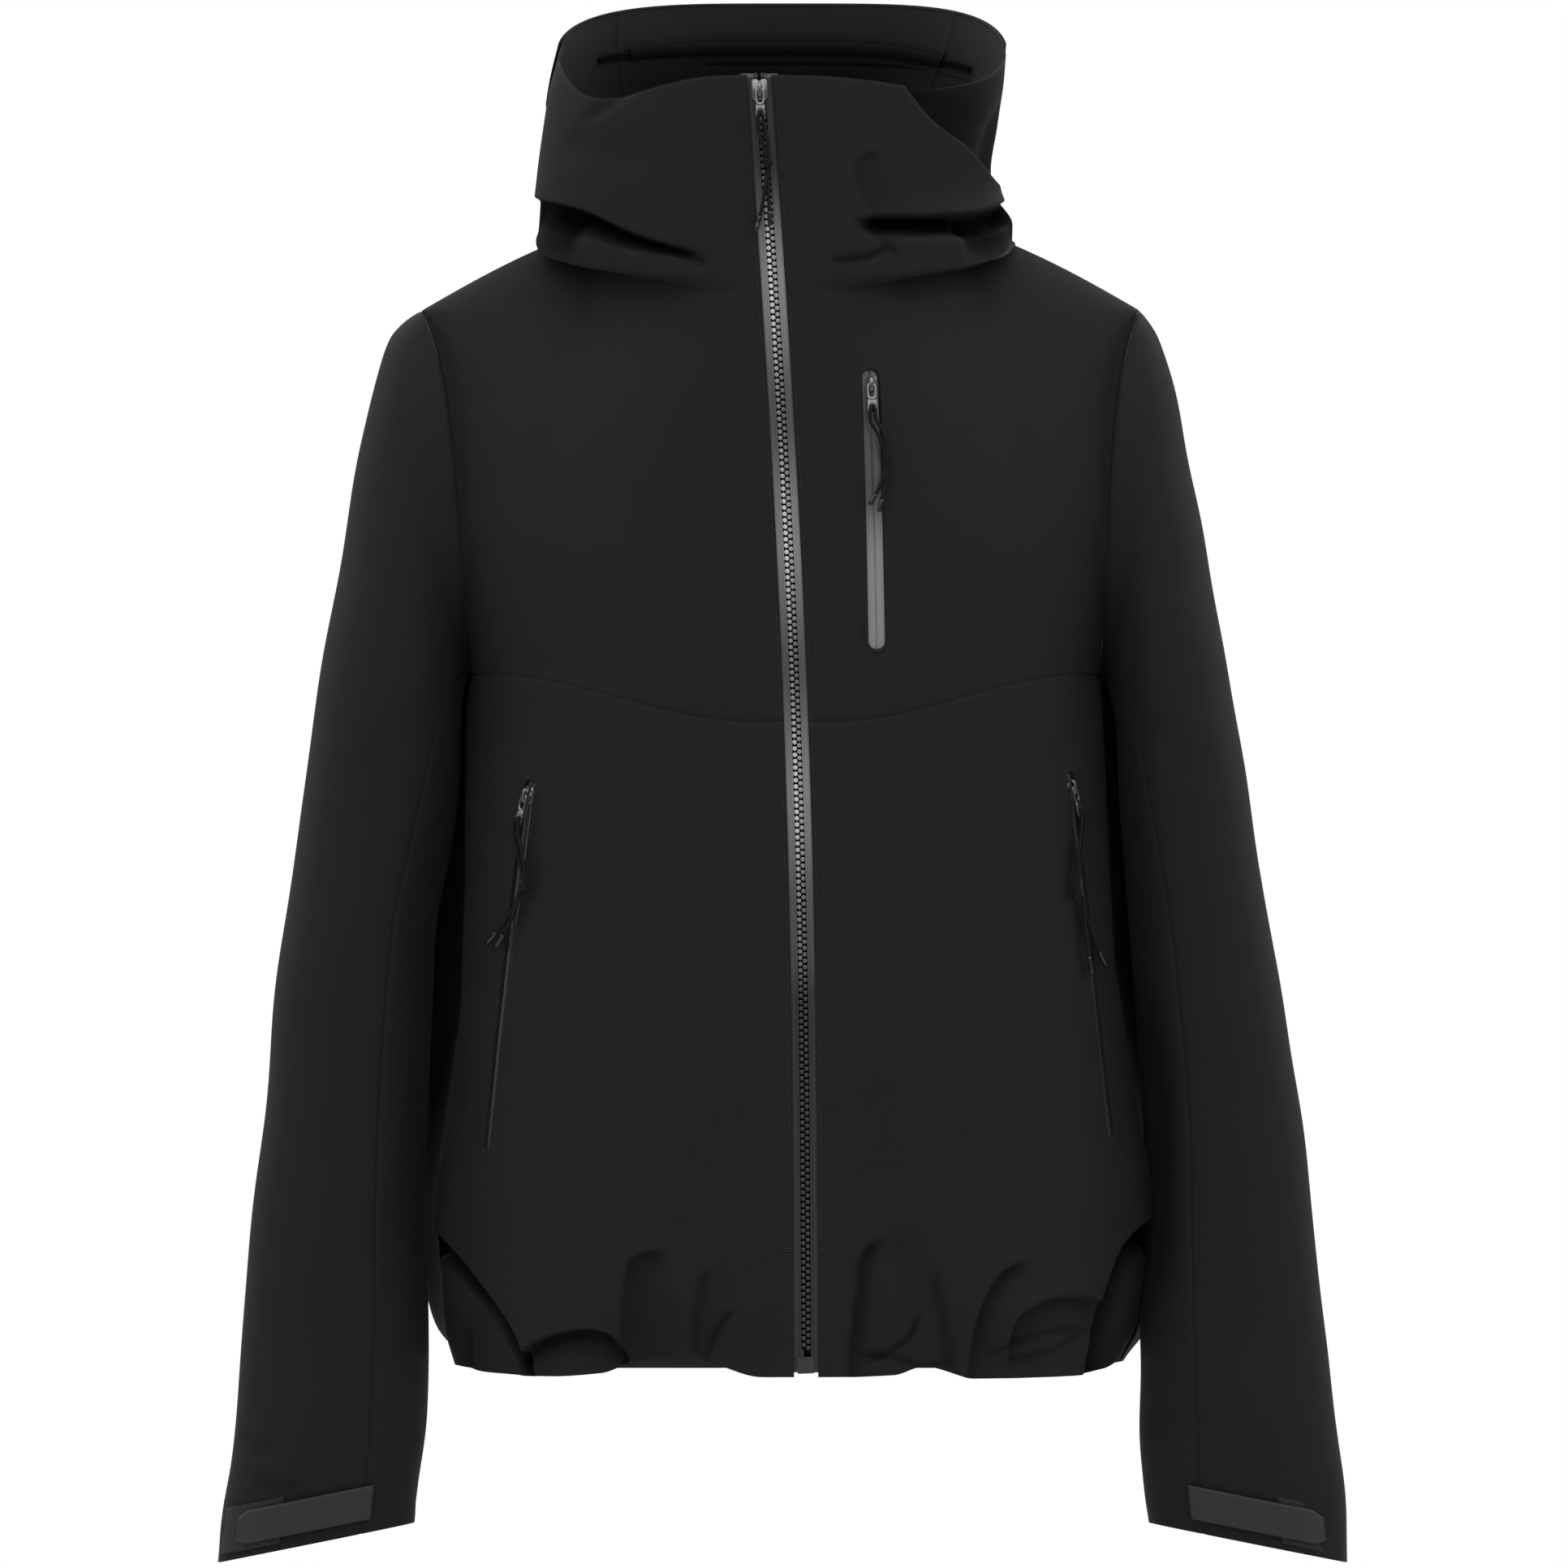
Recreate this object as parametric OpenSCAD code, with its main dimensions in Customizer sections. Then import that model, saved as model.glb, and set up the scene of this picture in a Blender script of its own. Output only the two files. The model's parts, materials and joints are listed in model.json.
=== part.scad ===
// Hooded three-layer ski shell jacket, women's medium, zipped up.
// Millimetres. +Z is up, -Y is the front of the jacket, +X is the wearer's left.
// The origin is the middle of the neck opening.
// A side argument s is -1 for the wearer's right and +1 for the wearer's left.

/* [Body] */
// Height from the neck opening down to the hem
body_h = 625; // [560:1:700]
// Half of the body width at the chest, between the sleeves
chest_half = 174; // [150:1:200]
// Half of the body width where it is fullest, above the hem
full_half = 186; // [160:1:200]
// Half of the body width at the gathered hem
hem_half = 178; // [150:1:200]
// How far the back stands behind the side seams
back_depth = 107; // [80:1:140]
// Squareness of the body section, 2 is an ellipse
body_square = 2.6; // [2:0.1:4]
// Drop of the chest seam below the neck opening at the main zip
chest_seam_mid = 265; // [240:1:290]
// Drop of the chest seam at the side seams
chest_seam_side = 239; // [220:1:260]
// Modelled thickness of the shell fabric
shell_t = 0.8; // [0.6:0.1:1.2]

/* [Shoulders and neck] */
// Half of the distance between the two shoulder tips
shoulder_half = 188; // [170:1:210]
// Drop of the shoulder tips below the neck opening
shoulder_drop = 31; // [20:1:50]
// Half of the neck seam width
neck_half = 98; // [80:1:110]
// Rise of the neck seam at the sides
neck_side_rise = 12; // [0:1:20]
// Drop of the neck seam at the front
neck_front_drop = 29; // [20:1:50]
// How far the back neck seam stands behind the origin
neck_back = 72; // [60:1:90]

/* [Sleeves] */
// Half of the armhole depth, front to back
armhole_half = 58; // [45:1:70]
// Drop of the outer end of the cuff
cuff_out_drop = 731; // [700:1:760]
// Drop of the inner end of the cuff
cuff_in_drop = 709; // [680:1:740]
// Distance of the outer end of the cuff from the middle
cuff_out_x = 312; // [290:1:330]
// Distance of the inner end of the cuff from the middle
cuff_in_x = 203; // [190:1:220]
// Length of a cuff tab
tab_len = 77; // [60:1:90]
// Width of a cuff tab
tab_w = 19; // [15:1:25]

/* [Hood and collar] */
// Height of the collar at the main zip above the neck opening
collar_rise = 93; // [80:1:110]
// Half of the hood width
hood_half = 127; // [115:1:140]
// Height of the standing brim above the neck opening
brim_rise = 134; // [120:1:150]
// Width of the brim band
brim_w = 35; // [25:1:45]

/* [Main zip] */
// Sideways position of the top of the zip
zip_top_x = -12; // [-20:1:20]
// Sideways position of the bottom of the zip
zip_low_x = 14; // [-20:1:20]
// Front position of the top of the zip
zip_top_y = -92; // [-110:1:-80]
// Front position of the bottom of the zip
zip_low_y = -118; // [-130:1:-90]
// Width of the window between the two fabric edges
zip_window = 13.3; // [10:0.1:16]
// Spacing of the teeth on one tape
tooth_pitch = 3.5; // [3:0.1:4]

/* [Pocket zips] */
// Width of the chest pocket window
chest_window = 10.8; // [8:0.1:14]
// Width of the hand pocket windows
hand_window = 8; // [6:0.1:12]
// Pitch of the coil turns
coil_pitch = 3; // [2:0.5:4]

/* [Cords] */
// Radius of the pull cords
pull_cord_r = 0.85; // [0.6:0.05:1]
// Radius of the elastic drawcords
draw_cord_r = 1.3; // [1:0.1:2]

/* [Hidden] */
side_y = 8;          // the side seams run a little behind the middle plane
seam_gap = 0.35;     // half of the clearance left along a flat seam
ridge_gap = 0.9;     // half of the clearance left along the shoulder seam
lean = 7;            // the hem hangs this far to the wearer's left
fullest_z = -525;
edge_stand = 2.2;    // the fabric edges stand this far in front of the main zip tape
section_e = 2 / body_square;
zip_low = [zip_low_x, zip_low_y, -body_h];
zip_top = [zip_top_x, zip_top_y, collar_rise];
zip_len = norm(zip_top - zip_low);
fabric = [0.14, 0.14, 0.15];
fabric_inside = [0.22, 0.22, 0.24];
tape_grey = [0.4, 0.4, 0.42];
hard_black = [0.08, 0.08, 0.09];
tooth_grey = [0.6, 0.6, 0.62];

// ---- small helpers ----

function mix(a, b, t) = a + (b - a) * t;
function clamp01(t) = min(1, max(0, t));
function ease(a, b, x) = let (t = clamp01((x - a) / (b - a))) t * t * (3 - 2 * t);
function unit(v) = v / norm(v);
function signed_pow(x, e) = sign(x) * pow(abs(x), e);

// Four-sided panel between the edge curves low(u), top(u), left(v) and right(v).
// The shape of the left and right edges fades out over the panel, faster with a higher fade.
function patch(low, top, left, right, u, v, fade = 1) =
    mix(low(u), top(u), v)
    + pow(1 - u, fade) * (left(v) - mix(low(0), top(0), v))
    + pow(u, fade) * (right(v) - mix(low(1), top(1), v));

// Grid of points of the surface f(u, v) over a part of it
function grid(f, nu, nv, u0 = 0, u1 = 1, v0 = 0, v1 = 1) =
    [for (i = [0:nu]) [for (j = [0:nv]) f(mix(u0, u1, i / nu), mix(v0, v1, j / nv))]];

// Outward normal of a grid point: columns run to the right and rows run up as seen from outside
function grid_normal(g, i, j) =
    let (nu = len(g) - 1, nv = len(g[0]) - 1)
    unit(cross(g[min(nu, i + 1)][j] - g[max(0, i - 1)][j],
               g[i][min(nv, j + 1)] - g[i][max(0, j - 1)]));

// Grid moved outward by d(i / nu, j / nv)
function lifted(g, d) =
    let (nu = len(g) - 1, nv = len(g[0]) - 1)
    [for (i = [0:nu]) [for (j = [0:nv]) g[i][j] + grid_normal(g, i, j) * d(i / nu, j / nv)]];

// Sheet of fabric with its outer face on the grid and thickness t inward
module sheet(g, t) {
    nu = len(g) - 1;
    nv = len(g[0]) - 1;
    n = (nu + 1) * (nv + 1);
    outer = [for (i = [0:nu]) for (j = [0:nv]) g[i][j]];
    inner = [for (i = [0:nu]) for (j = [0:nv]) g[i][j] - grid_normal(g, i, j) * t];
    at = function (i, j) i * (nv + 1) + j;
    faces = concat(
        [for (i = [0:nu - 1]) for (j = [0:nv - 1])
            let (a = at(i, j), b = at(i + 1, j), c = at(i + 1, j + 1), d = at(i, j + 1))
            each [[a, d, c], [a, c, b], [n + a, n + b, n + c], [n + a, n + c, n + d]]],
        [for (i = [0:nu - 1])
            let (a = at(i, 0), b = at(i + 1, 0), c = at(i, nv), d = at(i + 1, nv))
            each [[a, b, n + b], [a, n + b, n + a], [d, c, n + c], [d, n + c, n + d]]],
        [for (j = [0:nv - 1])
            let (a = at(0, j), d = at(0, j + 1), b = at(nu, j), c = at(nu, j + 1))
            each [[d, a, n + a], [d, n + a, n + d], [b, c, n + c], [b, n + c, n + b]]]
    );
    polyhedron(concat(outer, inner), faces, convexity = 8);
}

// Round cord along a path of points. r is one radius or a list with one radius for each point,
// and flat is a direction that the path never runs along.
module cord(path, r, sides = 6, flat = [0, 0, 1]) {
    n = len(path);
    radius = function (i) is_list(r) ? r[i] : r;
    tangent = function (i) unit(path[min(n - 1, i + 1)] - path[max(0, i - 1)]);
    ring = function (i)
        let (t = tangent(i), a = unit(cross(flat, t)), b = cross(t, a))
        [for (k = [0:sides - 1])
            path[i] + radius(i) * (a * cos(360 * k / sides) + b * sin(360 * k / sides))];
    points = [for (i = [0:n - 1]) each ring(i)];
    walls = [for (i = [0:n - 2]) for (k = [0:sides - 1])
        let (a = i * sides + k, b = i * sides + (k + 1) % sides)
        each [[a, b + sides, b], [a, a + sides, b + sides]]];
    polyhedron(points, concat(walls, [[for (k = [0:sides - 1]) k]],
        [[for (k = [sides - 1:-1:0]) (n - 1) * sides + k]]), convexity = 8);
}

// Frame of a zip: z runs up the line from a to b, y points into the jacket
module on_line(a, b, inward = [0, 1, 0]) {
    z = unit(b - a);
    x = unit(cross(inward, z));
    y = cross(z, x);
    multmatrix([[x.x, y.x, z.x, a.x], [x.y, y.y, z.y, a.y], [x.z, y.z, z.z, a.z], [0, 0, 0, 1]])
        children();
}

// ---- body surfaces ----

function zip_at(z) = mix(zip_low, zip_top, (z + body_h) / (collar_rise + body_h));
function lean_at(z) = lean * clamp01(-z / body_h);
function half_at(z) = z > fullest_z
    ? mix(chest_half, full_half, (z + chest_seam_side) / (fullest_z + chest_seam_side))
    : mix(full_half, hem_half, ease(fullest_z, -body_h, z));

// Fabric edge beside the main zip
function zip_edge(s, z) = zip_at(z) + [s * zip_window / 2, -edge_stand, 0];

// Quarter of the body section from the zip edge to the side seam at height z
function front_arc(s, z, u) =
    let (a = zip_edge(s, z), b = [s * half_at(z) + lean_at(z), side_y - seam_gap, z])
    [mix(a.x, b.x, pow(sin(90 * u), section_e)), mix(b.y, a.y, pow(cos(90 * u), section_e)), z];

function chest_seam_z(u) =
    -mix(chest_seam_mid, chest_seam_side, ease(0.1, 0.95, pow(sin(90 * u), section_e)));

function armhole(s, turn) =
    let (mid = (shoulder_drop + chest_seam_side) / 2, half = (chest_seam_side - shoulder_drop) / 2,
         up = (1 - cos(turn)) / 2)
    [mix(s * chest_half + lean_at(-chest_seam_side), s * shoulder_half, up),
     side_y - seam_gap - armhole_half * sin(turn), -mid - half * cos(turn)];

function shoulder_line(s, u) =
    [s * mix(neck_half, shoulder_half, u), side_y - ridge_gap,
     mix(neck_side_rise, -shoulder_drop, u) + 3 * sin(180 * u)];

function neck_front(s, u) =
    let (a = zip_edge(s, -neck_front_drop))
    [mix(a.x, s * neck_half, sin(90 * u)), mix(side_y - ridge_gap, a.y, cos(90 * u)),
     mix(neck_side_rise, -neck_front_drop, pow(cos(90 * u), 0.8))];

function front_yoke_point(s, u, v) =
    patch(function (u) let (z = chest_seam_z(u) + seam_gap) [front_arc(s, z, u).x, front_arc(s, z, u).y, z],
        function (u) u < 0.5 ? neck_front(s, 2 * u) : shoulder_line(s, 2 * u - 1),
        function (v) zip_edge(s, mix(-chest_seam_mid + seam_gap, -neck_front_drop, v)),
        function (v) let (p = armhole(s, 180 * v)) [p.x, p.y - (ridge_gap - seam_gap) * v, p.z + seam_gap * (1 - v)],
        u, v, 2) - [0, 14 * pow(4 * u * (1 - u), 4) * 4 * v * (1 - v), 0];

function front_body_point(s, u, v) =
    let (z = mix(-body_h, chest_seam_z(u) - seam_gap, v)) front_arc(s, z, u);

// Back half of the body section, u runs from the wearer's right to the left
function back_arc(z, u) =
    let (a = 180 * u - 90)
    [lean_at(z) + half_at(z) * signed_pow(sin(a), section_e),
     side_y + seam_gap + back_depth * pow(abs(cos(a)), section_e), z];

function back_seam_z(u) = -chest_seam_side - 14 * pow(sin(180 * u), 2);

function neck_back_line(u) =
    let (a = 180 * u - 90)
    [neck_half * sin(a), mix(side_y + ridge_gap, neck_back, cos(a)), neck_side_rise + 6 * cos(a)];

function back_top(u) =
    let (p = shoulder_line(-1, 1 - 4 * u), q = shoulder_line(1, 4 * u - 3))
    u < 0.25 ? [p.x, side_y + ridge_gap, p.z]
    : u > 0.75 ? [q.x, side_y + ridge_gap, q.z]
    : neck_back_line(2 * u - 0.5);

function armhole_back(s, v) =
    let (p = armhole(s, 180 * v))
    [p.x, 2 * side_y - p.y + (ridge_gap - seam_gap) * v, p.z + seam_gap * (1 - v)];

function back_yoke_point(u, v) =
    patch(function (u) let (z = back_seam_z(u) + seam_gap) back_arc(z, u), function (u) back_top(u),
        function (v) armhole_back(-1, v), function (v) armhole_back(1, v), u, v, 3)
    + [0, 24 * 16 * u * (1 - u) * v * (1 - v), 0];

function back_body_point(u, v) = back_arc(mix(-body_h, back_seam_z(u) - seam_gap, v), u);

// Grid seen from outside, whichever side of the jacket it is on
function side_grid(s, f, nu, nv, u0 = 0, u1 = 1, v0 = 0, v1 = 1) =
    s > 0 ? grid(f, nu, nv, u0, u1, v0, v1) : grid(f, nu, nv, u1, u0, v0, v1);

// ---- pocket zips: each runs from a low to a high point on a front panel ----

panel_to_tape = 2.6; // depth of a pocket zip tape behind the outer face of the fabric

function inward_of(f, u, v, s) =
    let (d = 0.02) -s * unit(cross(f(u + d, v) - f(u - d, v), f(u, v + d) - f(u, v - d)));

// Low and high end of each pocket opening on its panel
chest_uv = [[0.125, 0.152], [0.156, 0.806]];
hand_uv_right = [[0.691, 0.316], [0.535, 0.855]];
hand_uv_left = [[0.782, 0.335], [0.643, 0.863]];

function pocket_line(f, uv, s) =
    let (n = inward_of(f, (uv[0][0] + uv[1][0]) / 2, (uv[0][1] + uv[1][1]) / 2, s))
    [f(uv[0][0], uv[0][1]) + n * panel_to_tape, f(uv[1][0], uv[1][1]) + n * panel_to_tape, n];

chest_line = pocket_line(function (u, v) front_yoke_point(1, u, v), chest_uv, 1);
hand_line_right = pocket_line(function (u, v) front_body_point(-1, u, v), hand_uv_right, -1);
hand_line_left = pocket_line(function (u, v) front_body_point(1, u, v), hand_uv_left, 1);

module on_pocket(line) { on_line(line[0], line[1], line[2]) children(); }

// Rounded slot through a panel, the length of the pocket opening
module pocket_slot(line, w) {
    length = norm(line[1] - line[0]);
    on_pocket(line) {
        translate([-w / 2, -12, w / 2]) cube([w, 24, length - w]);
        for (z = [w / 2, length - w / 2]) translate([0, 12, z]) rotate([90, 0, 0]) cylinder(r = w / 2, h = 24);
    }
}

// ---- body panels ----

module front_yoke_sheet(s) { sheet(side_grid(s, function (u, v) front_yoke_point(s, u, v), 12, 9), shell_t); }

module front_yoke_right() { color(fabric) front_yoke_sheet(-1); }

module front_yoke_left() {
    color(fabric) difference() {
        front_yoke_sheet(1);
        pocket_slot(chest_line, chest_window);
    }
}

module front_body_sheet(s) { sheet(side_grid(s, function (u, v) front_body_point(s, u, v), 14, 7), shell_t); }

module front_body_right() {
    color(fabric) difference() {
        front_body_sheet(-1);
        pocket_slot(hand_line_right, hand_window);
    }
}

module front_body_left() {
    color(fabric) difference() {
        front_body_sheet(1);
        pocket_slot(hand_line_left, hand_window);
    }
}

module back_yoke() {
    color(fabric) sheet(grid(function (u, v) back_yoke_point(u, v), 20, 9, 1, 0), shell_t);
}

module back_body() {
    color(fabric) sheet(grid(function (u, v) back_body_point(u, v), 20, 7, 1, 0), shell_t);
}

// ---- collar, neck tape and hanging loop ----

collar_gap = 1.2; // clearance above the neck seam

function chin_edge(s, u) =
    let (a = zip_edge(s, collar_rise), b = [s * (hood_half - 10), -4, collar_rise + 5])
    [mix(a.x, b.x, pow(sin(90 * u), 0.85)), mix(b.y, a.y, pow(cos(90 * u), 0.85)),
     mix(a.z, b.z, u) - 13 * pow(sin(180 * u), 2)];

function collar_point(s, u, v) =
    patch(function (u) neck_front(s, u) + [0, 0, collar_gap], function (u) chin_edge(s, u),
        function (v) zip_edge(s, mix(-neck_front_drop + collar_gap, collar_rise, v)),
        function (v) mix(neck_front(s, 1) + [0, 0, collar_gap], chin_edge(s, 1), v) + [s * 6 * sin(180 * v), 0, 0],
        u, v);

module collar(s) {
    color(fabric) sheet(side_grid(s, function (u, v) collar_point(s, u, v), 12, 6), shell_t);
}

// Soft tape that covers the neck seam on the inside of the back neck
module neck_tape() {
    g = grid(function (u, v) let (p = neck_back_line(mix(0.1, 0.9, u)))
        [p.x * 0.975, p.y - 3, p.z - 8 + 14 * v], 14, 1, 1, 0);
    color(fabric_inside) sheet(g, 0.8);
}

loop_r = 10;
loop_w = 8;

// Closed ring of folded webbing sewn inside the back neck
module hang_loop() {
    color(fabric_inside) translate([0, neck_back - 6, neck_side_rise - 2])
        difference() {
            rotate([90, 0, 0]) cylinder(r = loop_r + 1.2, h = loop_w);
            translate([0, 1, 0]) rotate([90, 0, 0]) cylinder(r = loop_r, h = loop_w + 2);
        }
}

// ---- main zip ----

box_h = 9;          // height of the retaining box
stop_h = 2.5;
chain_half = 1.2;   // half of the tooth thickness
channel = 0.55;     // clearance of each chain from the middle line
main_tape_w = 7.2;  // width of each tape, its outer part lies under the fabric edge

module on_main_zip() { on_line(zip_low, zip_top) children(); }

module main_zip_tape(s) {
    color(tape_grey) on_main_zip()
        translate([s > 0 ? 3.1 : -3.1 - main_tape_w, -0.3, box_h + 0.5])
            cube([main_tape_w, 0.6, zip_len - box_h - 0.5]);
}

// One chain of moulded teeth with the cord they are moulded on
module main_zip_teeth(s) {
    start = box_h + (s < 0 ? 7 : 5.2);
    count = floor((zip_len - stop_h - 1 - start) / tooth_pitch);
    comb = [for (i = [0:count - 1]) let (z = start + i * tooth_pitch)
        each [[1.9, z], [channel, z + 0.2], [channel, z + 1.8], [1.9, z + 2]]];
    outline = concat([[2.9, start - 1], [1.9, start - 1]], comb,
        [[1.9, start + count * tooth_pitch], [2.9, start + count * tooth_pitch]]);
    color(tooth_grey) on_main_zip() translate([0, chain_half, 0]) rotate([90, 0, 0])
        linear_extrude(2 * chain_half) polygon([for (p = outline) [s * p.x, p.y]]);
}

module main_zip_top_stops() {
    color(tooth_grey) on_main_zip() for (s = [-1, 1])
        translate([s > 0 ? 0.9 : -2.9, -1.5, zip_len - stop_h]) cube([2, 3, stop_h]);
}

module main_zip_box() {
    color(hard_black) on_main_zip() difference() {
        translate([-4.5, -2.1, 0]) cube([9, 4.2, box_h]);
        translate([-2.6, -1.1, 2]) cube([2, 2.2, box_h]);
    }
}

module main_zip_pin() {
    color(hard_black) on_main_zip() translate([-2.3, -0.8, 2.4]) cube([1.4, 1.6, box_h + 2]);
}

// Facing strip behind the zip, from the hem to the collar
module storm_flap() {
    color(fabric_inside) on_main_zip() translate([-20, 3.6, 4]) cube([40, 0.8, zip_len - 12]);
}

// Soft facing over the top of the storm flap
module chin_guard() {
    color([0.3, 0.3, 0.32]) on_main_zip() translate([-17, 4.8, zip_len - 80]) cube([34, 1.2, 76]);
}

// ---- sliders, pulls and cords, all in the frame of their zip ----

main_slider_top = zip_len - stop_h - 0.8;
main_slider_h = 12;
pocket_slider_h = 10;
pull_len = 17;
pull_t = 1.3;
pull_hole_r = 1.7;
bail_half = 1.1;
main_face = -2.6;    // front of the main slider
pocket_face = -1.9;  // front of a pocket slider
main_bail = 1.25;    // distance of the pull hinge in front of the main slider
pocket_bail = 3.05;  // the same for a pocket slider, whose pull has to clear the fabric
pull_tilt = 8;       // a pull hangs a few degrees out from the zip

// Arch that carries the pull on a hinge this far in front of the slider
module bail(face, hinge, z) {
    rise = hinge + 1.65;
    translate([-bail_half, face - rise, z - 4.2]) difference() {
        cube([2 * bail_half, rise + 0.1, 8.4]);
        translate([-1, 0.9, 1.4]) cube([2 * bail_half + 2, rise + 0.3, 5.6]);
    }
}

// Slider body: two wings, side flanges and the wedge that joins the wings
module slider_body(half_w, h, face, back, tape_half) {
    wing = 1;
    translate([-half_w, face, 0]) cube([2 * half_w, wing, h]);
    translate([-half_w, back - wing, 0]) cube([2 * half_w, wing, h]);
    translate([-0.25, face, h - 3]) cube([0.5, back - face, 3]);
    for (x = [-half_w, half_w - 0.8]) {
        translate([x, face, 0]) cube([0.8, -tape_half - face, h]);
        translate([x, tape_half, 0]) cube([0.8, back - tape_half, h]);
    }
}

module main_slider_part() {
    slider_body(4.5, main_slider_h, main_face, 2.6, 0.65);
    bail(main_face, main_bail, main_slider_h / 2);
}

module pocket_slider_part(half_w) {
    slider_body(half_w, pocket_slider_h, pocket_face, 3.3, 0.65);
    bail(pocket_face, pocket_bail, pocket_slider_h / 2);
}

// The pull hangs from its crossbar: origin on the hinge, plate downward
module pull_part() {
    rotate([0, 90, 0]) translate([0, 0, -2.6]) cylinder(r = pull_t / 2, h = 5.2);
    difference() {
        translate([-2.6, -pull_t / 2, -pull_len]) cube([5.2, pull_t, pull_len]);
        translate([-1.5, -1, -7.2]) cube([3, 2, 7.3]);
        translate([0, 1, -pull_len + 3.2]) rotate([90, 0, 0]) cylinder(r = pull_hole_r, h = 2);
    }
}

// Cord looped through the hole of the pull: origin on the pull hinge
module pull_cord_part() {
    hole_z = -pull_len + 3.2;
    knot_z = hole_z - 31;
    front = pull_t / 2 + pull_cord_r + 0.3;
    loop = [[0.6, -front - 2.2, knot_z], [1.7, -front - 1.4, hole_z - 18], [1.1, -front - 0.5, hole_z - 9],
        [0.3, -front, hole_z - 2.4], [0, -front + 0.4, hole_z - 0.4], [0, 0, hole_z],
        [0, front - 0.3, hole_z - 0.5], [-0.3, front - 0.1, hole_z - 3.6], [-1.4, front - 0.6, hole_z - 7],
        [-1.8, -front - 0.6, hole_z - 18], [-0.6, -front - 2.2, knot_z]];
    across = [1, 0, 0];
    cord(loop, pull_cord_r, 6, across);
    tail = function (side) [[side * 0.8, -front - 2.3, knot_z - 1], [side * 2, -front - 2.5, knot_z - 12],
        [side * 4.2, -front - 2, knot_z - 28], [side * 4.3, -front - 2, knot_z - 29],
        [side * 4.6, -front - 2, knot_z - 36]];
    tip_r = 1.15;
    tail_r = [pull_cord_r, pull_cord_r, pull_cord_r, tip_r, tip_r];
    knot = [for (a = [3.1, 2.4, 0, -2.4, -3.1]) [0, -front - 2.2, knot_z + a]];
    cord(knot, [1.3, 2.4, 2.9, 2.4, 1.3], 8, across);
    for (side = [-1, 1]) cord(tail(side), tail_r, 6, across);
}

module at_main_pull() {
    on_main_slider() translate([0, main_face - main_bail, main_slider_h / 2]) rotate([-pull_tilt, 0, 0]) children();
}

module at_pocket_pull(line) {
    on_pocket_slider(line) translate([0, pocket_face - pocket_bail, pocket_slider_h / 2])
        rotate([-pull_tilt, 0, 0]) children();
}

module on_main_slider() { on_main_zip() translate([0, 0, main_slider_top - main_slider_h]) children(); }

module on_pocket_slider(line) {
    on_pocket(line) translate([0, 0, norm(line[1] - line[0]) - pocket_slider_h - 4]) children();
}

module main_zip_slider() { color(hard_black) on_main_slider() main_slider_part(); }
module main_zip_pull() { color(hard_black) at_main_pull() pull_part(); }
module main_zip_cord() { color(hard_black) at_main_pull() pull_cord_part(); }

// ---- pocket zips ----

// Two tapes, cut to a taper at both ends so that they lie under the curved fabric there
module pocket_tape(line, half_w) {
    end_w = 4;
    taper = 25;
    low = -3;
    high = norm(line[1] - line[0]) + 3;
    outline = [[channel, low], [end_w, low], [half_w, low + taper], [half_w, high - taper], [end_w, high],
        [channel, high]];
    color(tape_grey) on_pocket(line) for (s = [-1, 1]) translate([0, 0.3, 0]) rotate([90, 0, 0])
        linear_extrude(0.6) polygon([for (p = outline) [s * p.x, p.y]]);
}

module pocket_coil(line) {
    length = norm(line[1] - line[0]) - 4;
    count = floor(length / coil_pitch);
    comb = [for (i = [0:count - 1]) let (z = 2 + i * coil_pitch)
        each [[channel, z], [channel, z + 1.8], [1.2, z + 1.8], [1.2, z + coil_pitch]]];
    outline = concat([[2.6, 2]], comb, [[2.6, 2 + count * coil_pitch]]);
    color(hard_black) on_pocket(line) for (s = [-1, 1]) translate([0, 2.0, 0]) rotate([90, 0, 0])
        linear_extrude(1.5) polygon([for (p = outline) [s * p.x, p.y]]);
}

// Bag of thin fabric behind a panel, over a part of its surface
module pocket_bag(s, f, u0, u1, v0, v1) {
    g = side_grid(s, f, 8, 8, u0, u1, v0, v1);
    bulge = function (a, b) -2.4 - 8.5 * pow(clamp01(16 * a * (1 - a) * b * (1 - b)), 0.35);
    color(fabric_inside) sheet(lifted(g, bulge), 0.4);
}

module chest_zip_tape() { pocket_tape(chest_line, 8.8); }
module chest_zip_coil() { pocket_coil(chest_line); }
module chest_pocket_bag() { pocket_bag(1, function (u, v) front_yoke_point(1, u, v), 0.06, 0.42, 0.08, 0.9); }
module chest_zip_slider() { color(hard_black) on_pocket_slider(chest_line) pocket_slider_part(4.2); }
module chest_zip_pull() { color(hard_black) at_pocket_pull(chest_line) pull_part(); }
module chest_zip_cord() { color(hard_black) at_pocket_pull(chest_line) pull_cord_part(); }

hand_tape_half = 7.5;

module hand_pocket_bag(s) {
    pocket_bag(s, function (u, v) front_body_point(s, u, v), 0.22, 0.87, 0.2, 0.955);
}
module hand_zip_slider(line) { color(hard_black) on_pocket_slider(line) pocket_slider_part(3.5); }
module hand_zip_pull(line) { color(hard_black) at_pocket_pull(line) pull_part(); }
module hand_zip_cord(line) { color(hard_black) at_pocket_pull(line) pull_cord_part(); }

// ---- hem drawcord and cord locks ----

cord_inset = 4.5; // the cord runs this far inside the hem fabric
cord_z = 10;      // height of the cord above the hem edge

function hem_path_point(u) =
    let (z = -body_h + cord_z, p = u < 0.25 ? front_arc(-1, z, mix(0.12, 0.985, 4 * u))
        : u > 0.75 ? front_arc(1, z, mix(0.985, 0.12, 4 * u - 3))
        : back_arc(z, mix(0.012, 0.988, 2 * u - 0.5)),
        mid = [lean_at(z), side_y, z])
    p + unit(mid - p) * cord_inset;

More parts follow.
